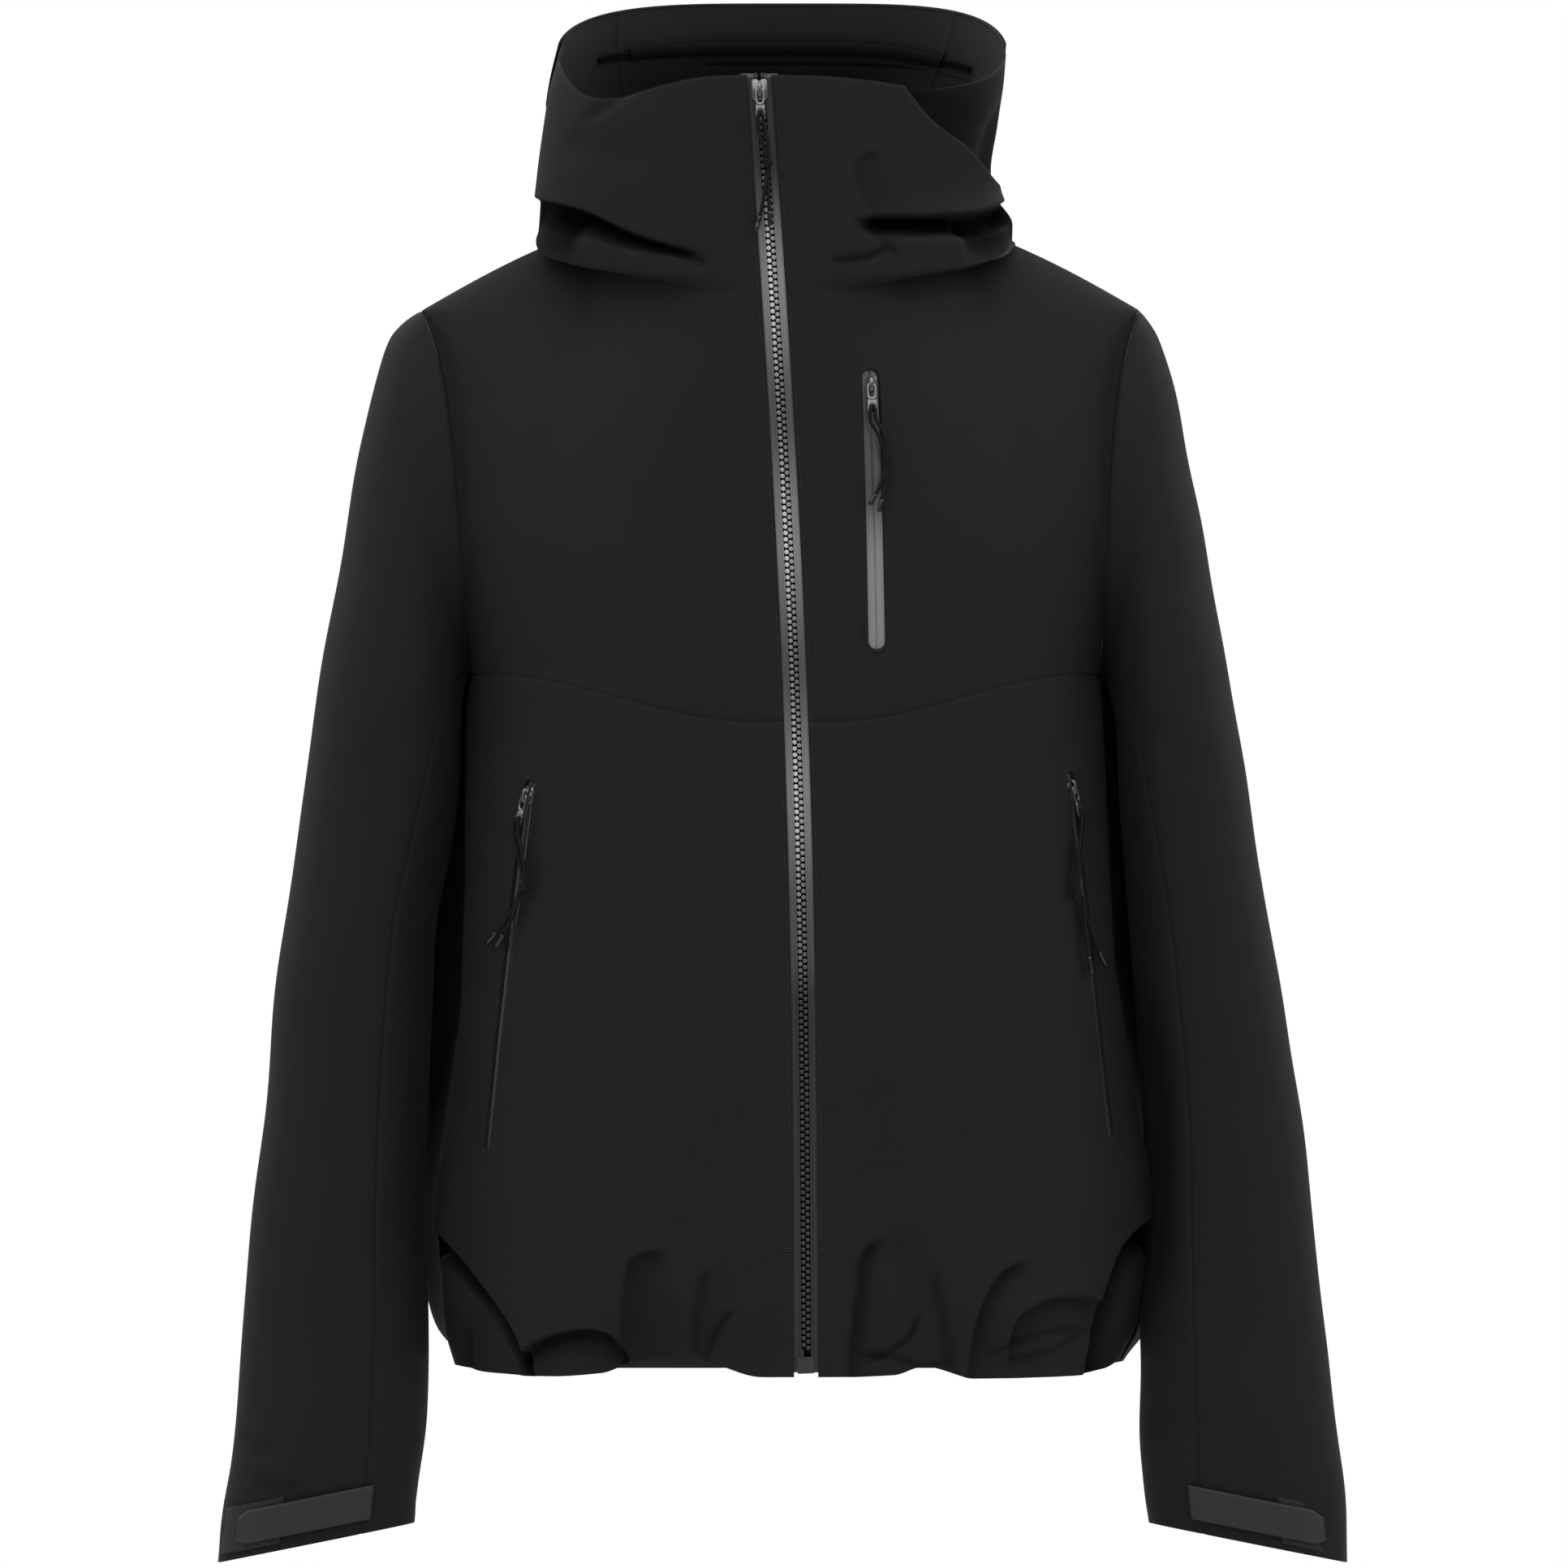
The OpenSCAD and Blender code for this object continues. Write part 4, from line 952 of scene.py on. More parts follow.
# Back profile: share of the height, depth and height
HOOD_BACK = ((0, 72, 18), (0.1, 100, 12), (0.25, 128, 28), (0.42, 136, 60), (0.58, 114, 88), (0.72, 94, 101),
             (0.84, 79, 113), (1, 62, 134))
CHIN_DIP = {-1: 15.0, 1: 10.0}  # how far the front edge of the hood hangs between the zip and the side
CROWN_U = 1.62  # where the side panels meet the crown, in the u of hood_ring
COLLAR_TOP = main_zip.low[2] + main_zip.length * main_zip.z[2] - 1.0

# Folds of the hood front, in the front view, given as for the hem, with shade painted into their hollows
HOOD_SHELVES = {
    -1: ((1.5, 26, 7, 0.97, (50, 2.5),
          ((-190, 42), (-138, 25), (-109, 17), (-82, 4.5), (-62, -2), (-42, -7))),
         (0, 1, 0, 0.97, (34, 24), ((-166, 38), (-138, 26), (-104, 14)))),
    1: ((3, 18, 9, 0.96, (6, 12), ((38, 12), (52, 13.5), (80, 14), (112, 17), (128, 25), (190, 45))),
        (0, 10, 5, 0.95, (10, 40), ((96, 15), (114, 17), (128, 25), (160, 50))),
        (2.5, 26, 12, 0.62, (26, 30),
         ((150, 8), (124, 26), (118, 34), (102, 54), (85, 67), (68, 88), (52, 112))),
        (1, 12, 1.6, 0.15, (16, 14), ((62, -2), (50, 14), (42, 30), (42, 44), (56, 52)))),
}
HOOD_CREASES = {
    -1: ((2, 4, 0.12, ((-110, 66), (-98, 74), (-80, 86))),
         (1.5, 10, 0.05, ((-120, 60), (-100, 50), (-70, 48))),
         (3, 3, 0.3, ((-60, -3), (-52, -8), (-40, -13)))),
    1: ((2.5, 2.2, 0.22, ((46, 12), (54, 4), (66, -10))), (2.5, 2.4, 0.32, ((26, -11), (46, -9), (62, -3)))),
}


def hood_ring(s, u, v):
    """Hood and collar as one skin: u is 0 at the zip, 1 at the side and 2 at the middle of the back."""
    out, side_y, side_z = (profile(HOOD_SIDE[s], v, c) for c in (1, 2, 3))
    back_y, back_z = (profile(HOOD_BACK, v, c) for c in (1, 2))
    a = np.clip(u, 0, 1) * math.pi / 2
    front_z = mix(NECK_FRONT, COLLAR_TOP, v)
    edge = zip_edge(s, front_z)
    around = 1 - power(np.cos(a), 0.8)
    dip = CHIN_DIP[s] * np.sin(math.pi * np.clip(u, 0, 1) ** 1.1) ** 2 * v ** 2
    square = mix(1, 0.85, ease(0, 0.08, v))
    x = mix(edge[..., 0], s * out, power(np.sin(a), square))
    y = mix(side_y, edge[..., 1], power(np.cos(a), square))
    front = xyz(x, y, mix(front_z, side_z, around) - dip)
    b = np.clip(u - 1, 0, 1) * math.pi / 2
    turn = power(np.sin(b), mix(1, 0.75, v))
    deep = power(np.sin(b), mix(1, 0.9, ease(0, 0.08, v)))
    back = xyz(s * out * power(np.cos(b), mix(1.0, RIM_CORNER[s], v)), mix(side_y, back_y, deep),
               mix(side_z, back_z, turn))
    return np.where((u <= 1)[..., None], front, back)


def hood_relief(s, p, u):
    # Height of the folds and the shade painted into them, which fades out towards the back of the hood.
    height, shade = folded(p, HOOD_CREASES[s], HOOD_SHELVES[s])
    total = undulate(p, 51 + s, 0.9) * (1 - bump(p[..., 0], zip_centre(p[..., 2])[0], 12)) + height
    return mix(undulate(p, 61, 1.5), total, ease(1.12, 0.98, u)), shade * ease(1.55, 1.3, u)


def hood_weight(u, v):
    """Weight of a point: 0 at the collar and the neck seam, rising to 1 up from the neck and towards the back
    of the hood.
    """
    return ease(0.9, 1.6, u) * ease(0.0, 0.35, v)


def hood_surface(s, u, v):
    """Front and side of the hood with its folds, and the shade painted into them."""
    p = hood_ring(s, u, v)
    height, shade = hood_relief(s, p, u)
    return raised(p, s < 0, height * ease(0, 0.04, v)), shade


for s, side in SIDES:
    u, v = lattice(CROWN_U * spread(190), spread(130))
    p, shade = hood_surface(s, u, v)
    p = rolled(p, s < 0, "i1 j1")
    piece = sheet(f"hood_and_collar_{side}", p, s < 0, shell_fabric, shade=shade)
    finish_piece(piece, "hood", f"collar_{side}", f"hood_side_{side}", weights=hood_weight(u, v))


def hood_back(t, v):
    """Back of the hood across the middle: t runs from the wearer's left at -1 to the right at 1."""
    u = 2 - np.abs(t)
    left, right = hood_ring(1, u, v), hood_ring(-1, u, v)
    return np.where((t < 0)[..., None], left, right), u


t, v = lattice(mix(CROWN_U - 2, 2 - CROWN_U, spread(70)), spread(96))
p, u = hood_back(t, v)
p = rolled(raised(p, False, undulate(p, 61, 1.5) * ease(0, 0.04, v)), False, "i0 i1 j1")
piece = sheet("hood_crown_panel", p, False, shell_fabric)
finish_piece(piece, "hood", "hood_crown", weights=hood_weight(u, v))


def cord_v(t):
    """Height share of the drawcord inside the hood, which hangs a little lower on the wearer's left."""
    return 0.82 - 0.03 * smooth(-t / 0.4)


def brim_band():
    """Band round the outside of the hood rim, a little proud of it."""
    t, v = lattice(np.linspace(-0.88, 0.88, 120), np.linspace(0.72, 0.998, 14))
    p, u = hood_back(t, v)
    p = rolled(p + grid_normals(p, False) * 0.9, False, "j0 i0 i1", 0.6, 1.2)
    finish_piece(sheet("hood_brim_band", p, False, shell_fabric, 0.6), "hood", "hood_brim",
                 weights=hood_weight(u, v))


def cord_tunnel():
    """Tunnel of the drawcord, a strip that swells out on the inside of the hood."""
    t, v = lattice(np.linspace(-0.39, 0.34, 110), np.linspace(-0.03, 0.03, 15))
    v = v + cord_v(t)
    p, u = hood_back(t, v)
    swell = 3.4 * power(np.sin(math.pi * np.linspace(0.02, 0.98, 15)), 0.4)
    p = p - grid_normals(p, False) * swell[:, None]
    finish_piece(sheet("hood_cord_tunnel", p, False, inner_fabric, 0.6), "hood", "hood_drawcord_tunnel",
                 weights=hood_weight(u, v))


brim_band()
cord_tunnel()


def hood_cord():
    """Elastic cord of the hood, which lies double inside its tunnel."""
    shape, weights, sides = Shape(), [], 8
    t = np.linspace(-0.45, 0.4, 90)
    for shift in (-0.009, 0.009):
        v = cord_v(t) + shift
        p, u = hood_back(np.stack([t, t], 1), np.stack([v, v + 0.01], 1))
        p = p - grid_normals(p, False) * 2.2
        shape.tube(p[:, 0], 0.85, sides, (0, 0, 1))
        weights += list(np.repeat(hood_weight(u[:, 0], v), sides))
    finish_piece(shape.build("hood_elastic_cord", cord_weave), "hood", "hood_drawcord", weights=weights)


def hood_tabs():
    """Tabs that hold the ends of the cord on the inside of the hood."""
    shape, weights = Shape(), []
    for sign, ts in ((-1, (-0.44, -0.56)), (1, (0.39, 0.48))):
        t, v = lattice(np.linspace(*ts, 8), np.linspace(-0.014, 0.014, 4))
        v = v + cord_v(t)
        p, u = hood_back(t, v)
        n = grid_normals(p, sign < 0)
        shape.loft(np.concatenate([p - n * 1.6, (p - n * 3.2)[:, ::-1]], axis=1))
        w = hood_weight(u, v)
        weights += list(np.concatenate([w, w[:, ::-1]], axis=1).ravel())
    finish_piece(shape.build("hood_cord_end_tabs", cord_weave, False), "hood", "hood_cord_tabs",
                 weights=weights, slot="trim_plastic")


hood_cord()
hood_tabs()

# ---- things laid on the front

for s, side in SIDES:
    u, v = lattice(np.linspace(0, 1, 120), np.linspace(0, 1, 90))
    front_grids["collar_" + side] = hood_surface(s, u, v)[0]
x, z = lattice(np.linspace(-8, 8, 5), np.linspace(HEM_Z, COLLAR_TOP, 120))
front_grids["zip_face"] = on_zip(x, -1.4, z)


def surface_tree(grids):
    verts, faces = [], []
    for p in grids:
        faces += (grid_quads(*p.shape[:2]) + len(verts)).tolist()
        verts += p.reshape(-1, 3).tolist()
    return BVHTree.FromPolygons(verts, faces)


front_tree = surface_tree(front_grids.values())
RAY_START, RAY_LENGTH = 250, 700


def laid(points, direction=(0, 1, 0), lift=0.0):
    """Points dropped onto the front of the jacket along a direction, then lifted off its face."""
    direction = Vector(direction).normalized()
    result, last = [], None
    for p in np.asarray(points, float):
        hit, normal, _, _ = front_tree.ray_cast(Vector(p) - direction * RAY_START, direction, RAY_LENGTH)
        if hit is None:
            hit, normal = last
        elif normal.dot(direction) > 0:
            normal = -normal
        last = (hit, normal)
        result.append(np.array(hit + normal * lift))
    return np.array(result)


def stitches(shape, path, pitch=2.9, length=2.1, radius=0.28):
    """Row of stitches along a dense path."""
    run = run_along(path)
    for start in np.arange(pitch / 2, run[-1] - pitch, pitch):
        at = np.clip(start + length * np.array([0, 0.15, 0.5, 0.85, 1]), 0, run[-1])
        p = np.stack([np.interp(at, run, path[:, c]) for c in range(3)], -1)
        shape.tube(p, radius * np.array([0.3, 0.9, 1, 0.9, 0.3]), 6)


STITCH_OFF = 2.0  # from the edge of the fabric to the row of stitches
STITCH_LOW = HEM_Z + 69  # where the row ends in a double bar
front_stitches = Shape()
for s, side in SIDES:
    z = np.arange(COLLAR_TOP - 8, STITCH_LOW, -1.5)
    line = laid(xyz(zip_centre(z)[0] + s * (WINDOW_HALF + STITCH_OFF), 0, z), lift=0.1)
    stitches(front_stitches, line)
    bar = np.linspace(WINDOW_HALF + 1, WINDOW_HALF + 5.5, 8)
    for k in range(2):
        z = STITCH_LOW - 1.2 * k
        front_stitches.tube(laid(xyz(zip_centre(z)[0] + s * bar, 0, z), lift=0.2), 0.4, 6)
finish_piece(front_stitches.build("front_stitching", stitch_thread), "shell")

# ---- main zip

TOOTH_PITCH = 3.5
STOP_H = 2.5
TAPE_W = 7.2
zip_low_z, zip_high_z = HEM_Z + BOX_H, COLLAR_TOP + 1.0

for s, side in SIDES:
    x, z = lattice(s * np.array([2.6, 2.7, 3.2, 3.7, 4.0, 4.4, 5.5, 6.6, 7.6, 8.8, 3.1 + TAPE_W]),
                   np.linspace(HEM_Z + 0.6, zip_high_z - 0.2, 260))
    bead = -0.9 * bump(np.abs(x), 3.2, 0.55)
    piece = sheet("main_zip_tape_cloth_" + side, on_zip(x, -0.35 + bead, z), s < 0, zip_tapes_painted_reflection[s], 0.5)
    finish_piece(piece, "shell", "main_zip_tape_" + side)

HEAD_X, HEAD_R = 1.27, 1.3
HEAD_RINGS = ((1.3, 0.8), (0.9, 1.0), (-0.8, 1.0), (-1.15, 0.85), (-1.35, 0.5))


def add_tooth(shape, s, z):
    """Round head of a moulded tooth and the neck that holds it on its tape."""
    w = turns(14)
    shape.loft([on_zip(s * HEAD_X + share * HEAD_R * np.cos(w), y, z + share * HEAD_R * np.sin(w))
                for y, share in HEAD_RINGS])
    shape.tube(on_zip(s * np.array([HEAD_X, 2.3, 3.3]), 0, np.full(3, z)), 0.6, 6, (0, 0, 1))


for s, side in SIDES:
    teeth = Shape()
    first = zip_low_z + (6.9 if s < 0 else 5.2)
    for z in np.arange(first, zip_high_z - STOP_H - 1.5, TOOTH_PITCH):
        add_tooth(teeth, s, z)
    finish_piece(teeth.build(f"main_zip_teeth_{side}_row", zip_teeth[s]), "shell", f"main_zip_teeth_{side}")

# The box takes the left teeth material with its painted reflection; the other trims take plain trim plastic.
for node in ("main_zip_box", "main_zip_top_stops", "main_zip_pin", "hem_cord_lock_housings",
             "hem_cord_lock_button_right", "hem_cord_lock_button_left"):
    materials = frame["nodes"][node].data.materials
    materials.clear()
    materials.append(zip_teeth[1] if node == "main_zip_box" else trim_plastic)

x, z = lattice(np.linspace(-20, 20, 14), np.linspace(zip_low_z, zip_high_z - 8, 160))
piece = sheet("storm_flap_strip", on_zip(x, 3.9 + 0.4 * np.sin(z / 23), z), False, inner_fabric, 0.8)
finish_piece(piece, "shell", "storm_flap")
x, z = lattice(np.linspace(-17, 17, 14), np.linspace(zip_high_z - 80, zip_high_z - 4, 40))
piece = sheet("chin_guard_pad", on_zip(x, 5.4 - 0.5 * np.cos(x / 12), z), False, facing_fabric, 1.2)
finish_piece(piece, "shell", "chin_guard")

# ---- sliders, pulls and cords


def rounded(half_x, z0, z1, count=36, e=0.55):
    """Closed outline of a rounded rectangle in x and z, counted from its right side."""
    w = turns(count)
    return np.stack([half_x * bent(np.cos(w), e), (z0 + z1) / 2 + (z1 - z0) / 2 * bent(np.sin(w), e)], -1)


def slider_shape(half_w, h, face, back, hinge):
    """Slider body with its wings, side flanges, wedge and the arch that carries the pull.

    face and back are the depths of its outer faces, and hinge is how far its pull hangs in front."""
    outline = np.array([(half_w - 1.4, 0), (half_w - 0.3, 1.6), (half_w, h * 0.35), (half_w, h * 0.8),
                        (half_w - 0.8, h - 0.2), (1.3, h), (0.7, h - 1.2)])
    outline = np.roll(np.concatenate([outline, outline[::-1] * (-1, 1)]), 1, axis=0)
    shape = Shape()
    shape.prism(outline, face, face + 1.0, 0.3)
    shape.prism(outline, back - 1.0, back, 0.3)
    for sign in (-1, 1):
        for y0, y1 in ((face + 0.6, -0.65), (0.65, back - 0.6)):
            flange = rounded(0.4, 1.2, h - 1.2, 16) + [sign * (half_w - 0.4), 0]
            shape.prism(flange, y0, y1, 0.1)
    shape.prism(rounded(0.6, h - 3.2, h - 1.4, 16), face + 0.5, back - 0.5, 0.1)
    top, mid = face - hinge - 1.0, h / 2
    arch = through([(0, face + 0.2, mid - 4.0), (0, face - 0.5, mid - 4.0), (0, top + 0.5, mid - 3.2),
                    (0, top, mid - 1.4), (0, top, mid + 1.4), (0, top + 0.5, mid + 3.2),
                    (0, face - 0.5, mid + 4.0), (0, face + 0.2, mid + 4.0)], 26)
    shape.tube(arch, 1.1, 12, (1, 0, 0), 0.55)
    return shape


PULL_LEN = 17.0


def pull_shape():
    """Pull plate hanging from its crossbar, origin on the hinge."""
    shape = Shape()
    shape.frame_plate(rounded(2.6, -9.4, 0.65), rounded(1.55, -7.3, -0.75, e=0.7), 0.65)
    hole = rounded(1.7, -PULL_LEN + 1.5, -PULL_LEN + 4.9, e=1.0)
    shape.frame_plate(rounded(2.6, -PULL_LEN, -7.9), hole, 0.65)
    return shape


PULL_TILT = math.radians(8)


def tilted(p):
    """From the frame of a pull, which hangs a little outward, to that of its zip."""
    c, s = math.cos(-PULL_TILT), math.sin(-PULL_TILT)
    return np.stack([p[:, 0], p[:, 1] * c - p[:, 2] * s, p[:, 1] * s + p[:, 2] * c], -1)


CORD_R = 1.05
CORD_LIFT, KNOT_LIFT = 4.4, 4.6  # how far the tails and the knot of a cord stay off the fabric


def cord_shape(line, knot, tails):
    """Cord looped through the hole of a pull, its knot and two tails with tips, laid on the front.

    knot and tails are offsets in x and z from the hole."""
    cord, tips = Shape(), Shape()
    hole = line.hole
    out = -line.y
    centre = laid([hole + [knot[0], 0, knot[1]]], lift=KNOT_LIFT)[0]
    for sign in (-1, 1):
        rise = 1.7 * sign * line.x
        half = mix(hole, centre, 0.5) + out * 1.4 + rise
        strand = through([hole - out * 1.6 + rise * 0.2, hole + out * 0.2 + rise * 0.35 - line.z * 1.2,
                          hole + out * 1.7 + rise * 0.5 + line.z * 0.4, hole + out * 1.5 + rise - line.z * 6,
                          half, centre + line.z * 1.5 + rise * 0.3], 34)
        cord.tube(strand, CORD_R, 10)
    front = unit(out)
    across = unit(np.cross(front, (0, 0, 1)))
    down = np.array([knot[0], 0, knot[1]]) / np.hypot(*knot)
    w = np.linspace(0, 2 * math.pi * 2.3, 60)[:, None]
    around = np.cos(w) * across + 0.8 * np.sin(w) * front
    coil = centre + down * mix(-1.9, 1.9, w / w[-1]) + 1.75 * around
    cord.tube(coil, CORD_R, 10, tuple(down))
    for k, (dx, dz) in enumerate(tails):
        flat = through([(0, -1.5), (dx * 0.15, dz * 0.3), (dx * 0.55, dz * 0.7), (dx, dz)], 30)
        at = centre + np.stack([flat[:, 0], np.zeros(30), flat[:, 1]], -1)
        path = laid(at, lift=CORD_LIFT)
        cord.tube(path[:-7], CORD_R, 10)
        tips.tube(path[-8:], CORD_R * np.r_[1.05, np.full(6, 1.3), 0.9], 12)
    return cord, tips


# Each zip: sizes of the slider, knot of the cord as seen from the hole, and its tails as seen from the knot
ZIP_SETS = (
    ("main", "", main_zip, (4.5, 12.0, -2.6, 2.6, 1.25), (4, -27), ((-6.5, -38), (1.5, -35))),
    ("chest", "", chest_zip, (4.2, 10.0, -1.9, 3.3, 3.05), (7, -27), ((-10, -27), (-5, -31))),
    ("hand", "_right", hand_zips["right"], (3.5, 10.0, -1.9, 3.3, 3.05), (6, -38), ((-18, -31), (-13, -33))),
    ("hand", "_left", hand_zips["left"], (3.5, 10.0, -1.9, 3.3, 3.05), (-5, -46), ((5, -45), (13, -41))),
)
for where, end, line, sizes, knot, tails in ZIP_SETS:
    slider, pull, cord_name = (f"{where}_zip_{part}{end}" for part in ("slider", "pull", "cord"))
    hinge_z = line.to_local(line.hinge)[2]
    shape = slider_shape(*sizes)
    shape.move(lambda p: line.place(p, hinge_z - sizes[1] / 2))
    finish_piece(shape.build(f"{where}{end}_slider", slider_metal), slider, slider)
    shape = pull_shape()
    shape.move(lambda p: line.place(tilted(p) + line.to_local(line.hinge)))
    finish_piece(shape.build(f"{where}{end}_pull_tab", slider_metal), pull, pull)
    cord, tips = cord_shape(line, knot, tails)
    finish_piece(cord.build(f"{where}{end}_pull_cord", cord_weave), cord_name, cord_name)
    finish_piece(tips.build(f"{where}{end}_cord_tips", tip_plastic), cord_name)

# ---- pocket zips


STRIP_DEPTH = 2.0


def pocket_rim(name, line, half_w):
    """Bonded edge of a pocket opening, a soft lip all round the slot."""
    w = np.linspace(0, 2 * math.pi, 40, endpoint=False)
    run = np.linspace(half_w, line.length - half_w, 60)
    cross = ((-0.9, -1.9), (-0.5, 0.0), (-0.1, 0.35), (0.5, 0.42), (1.1, 0.3), (1.6, 0.0))
    rings = []
    for off, lift in cross:
        r = half_w + off
        up = np.stack([np.full(60, r), run], -1)
        arc = np.linspace(0, math.pi, 20)[1:-1]
        top = np.stack([r * np.cos(arc), line.length - half_w + r * np.sin(arc)], -1)
        low = np.stack([-r * np.cos(arc), half_w - r * np.sin(arc)], -1)
        loop = np.concatenate([up, top, np.stack([np.full(60, -r), run[::-1]], -1), low])
        rings.append(laid(line.place(xyz(loop[:, 0], 0, loop[:, 1])), line.y, lift))
    shape = Shape()
    shape.loft(rings[::-1], caps=False)
    finish_piece(shape.build(name, shell_fabric), "shell")


def pocket_strip(name, line, half_w, material, node):
    """The two tapes of a pocket zip, lying just behind the slot, with the joint between them."""
    half = np.array([0.05, 0.12, 0.25, 0.5, 0.75, 1.0, 1.25])
    x, z = lattice(np.r_[-half[::-1], 0, half] * (half_w + 0.8), np.linspace(-2.5, line.length + 2.5, 90))
    flat = line.place(xyz(x, 0, z)).reshape(-1, 3)
    p = laid(flat, line.y, -STRIP_DEPTH).reshape(*x.shape, 3)
    crown = 0.35 * (1 - (np.abs(x) / (half_w + 2) - 0.45) ** 2 / 0.3) - 0.9 * bump(x, 0, 0.35)
    p = p - line.y * crown[..., None]
    finish_piece(sheet(name, p, False, material, 0.5), "shell", node)


def pocket_coil(name, line, node):
    """Coil of a pocket zip behind its tape, one helix on each side."""
    shape = Shape()
    rounds = int((line.length - 4) / 3)
    for sign in (-1, 1):
        w = np.linspace(0, 2 * math.pi * rounds, rounds * 10)
        path = xyz(sign * (1.5 - 1.0 * np.cos(w)), 1.9 + 0.75 * np.sin(w), mix(2, line.length - 2, w / w[-1]))
        shape.tube(line.place(path), 0.3, 5, tuple(line.x))
    finish_piece(shape.build(name, zip_coil), "shell", node)


for place, end, line, half_w, tape in (("chest", "", chest_zip, CHEST_WINDOW, chest_tape),
                                       ("hand", "_right", hand_zips["right"], HAND_WINDOW, hand_tape),
                                       ("hand", "_left", hand_zips["left"], HAND_WINDOW, hand_tape)):
    pocket_rim(f"{place}_pocket_edge{end}", line, half_w)
    pocket_strip(f"{place}_zip_tape_strip{end}", line, half_w, tape, f"{place}_zip_tape{end}")
    pocket_coil(f"{place}_zip_coil_pair{end}", line, f"{place}_zip_coil{end}")


def pocket_bag(name, s, surface, us, vs, node):
    """Bag of thin fabric that hangs behind a panel."""
    u, v = lattice(np.linspace(*us, 40), np.linspace(*vs, 40))
    a, b = lattice(np.linspace(0, 1, 40), np.linspace(0, 1, 40))
    p = surface(s, u, v)
    belly = 3.4 + 8.5 * power(16 * a * (1 - a) * b * (1 - b), 0.35)
    belly = belly + 0.8 * np.sin(9 * a + 4 * b) * a * (1 - a) * 4
    p = p - grid_normals(p, s < 0) * belly[..., None]
    finish_piece(sheet(name, p, s < 0, inner_fabric, 0.4), "shell", node)


pocket_bag("chest_pocket_lining", 1, front_yoke, (0.06, 0.42), (0.08, 0.9), "chest_pocket_bag")
for s, side in SIDES:
    pocket_bag(f"hand_pocket_lining_{side}", s, front_body, (0.22, 0.87), (0.2, 0.955),
               f"hand_pocket_bag_{side}")

# ---- hem cord, neck tape and hanging loop


HEM_CORD_UP, HEM_CORD_IN = 10.0, 24.0  # where the cord runs, above the hem edge and inside the fabric


def hem_cord():
    z = np.full(60, HEM_Z + HEM_CORD_UP)
    right = front_arc(-1, z, np.linspace(0.12, 0.985, 60))
    back = back_arc(z, np.linspace(0.012, 0.988, 60))
    left = front_arc(1, z, np.linspace(0.985, 0.12, 60))
    path = np.concatenate([right, back, left])
    mid = np.array([lean_at(HEM_Z), SIDE_Y, HEM_Z + HEM_CORD_UP])
    path = path + unit(mid - path) * HEM_CORD_IN
    shape = Shape()
    shape.tube(through(path[::6], 200), 1.3, 8, (0, 0, 1))
    finish_piece(shape.build("hem_elastic_cord", cord_weave), "shell", "hem_drawcord")


hem_cord()
u, w = lattice(np.linspace(0.1, 0.9, 60), np.linspace(0, 1, 6))
p = neck_back(u) * [0.975, 1, 1] + xyz(0, -3.5, -8 + 14 * w)
finish_piece(sheet("neck_seam_tape", p, False, inner_fabric), "shell", "neck_tape")
loop_low, loop_high = (np.array(c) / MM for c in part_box("hang_loop"))
loop_mid, loop_r = (loop_low + loop_high) / 2, (loop_high[0] - loop_low[0]) / 2
w, y = lattice(np.linspace(0, 2 * math.pi, 64), np.linspace(loop_low[1], loop_high[1], 7))
p = xyz(loop_mid[0] + loop_r * np.cos(w), y, loop_mid[2] + loop_r * np.sin(w))
finish_piece(sheet("hanging_loop_webbing", p, False, webbing, 1.0), "shell", "hang_loop")

# ---- sleeves

# Outline of each sleeve: drop and distance from the middle of the jacket
OUTLINE = {-1: ((37, 199), (46, 213), (63, 221.5), (108, 232), (216, 251), (324, 268), (459, 284.5),
                (540, 293), (675, 305), (702, 309), (731, 312)),
           1: ((37, 199), (48, 208), (63, 213.5), (108, 225), (216, 243.5), (324, 262.5), (459, 285),
               (540, 294.5), (621, 304), (702, 313.5), (731, 314))}
# The rings of a sleeve: their outer and inner ends, their half depth and how far back they lie
OUTER_DROP = np.array((37, 52, 78, 130, 207, 300, 380, 495, 585, 655, 695, 731))
INNER_DROP = (239, 246, 254, 268, 290, 332, 395, 500, 585, 648, 686, 709)
INNER_HALF = {-1: (174, 175, 176, 177, 178, 182, 192, 196, 196, 196.5, 200, 203),
              1: (174, 181, 183, 185, 186.5, 190, 195, 200, 199.5, 199, 201, 204)}
RING_HALF = (58, 61, 64, 67, 68, 66, 62, 56, 50, 44, 38, 33)
RING_BACK = (8, 8, 8, 7, 7, 8, 9, 8, 4, -2, -6, -6)
LAST_RING = 11
RINGS = np.arange(LAST_RING + 1)
# Folds of the sleeves in the front view, given as for the hem, with shade painted into their hollows
SLEEVE_CREASES = {
    -1: ((1.2, 12, 0.03, ((-192, -262), (-214, -276), (-236, -300))),
         (1.6, 5, 0.1, ((-302, -658), (-290, -668), (-276, -662))),
         (1.2, 3, 0.2, ((-292, -682), (-279, -690), (-262, -684)))),
    1: ((1.2, 12, 0.03, ((192, -262), (214, -276), (236, -300))),
        (3, 9, 0.35, ((194, -400), (205, -450), (209, -520), (205, -600))),
        (1.2, 8, 0.05, ((196, -640), (216, -652), (240, -650)))),
}


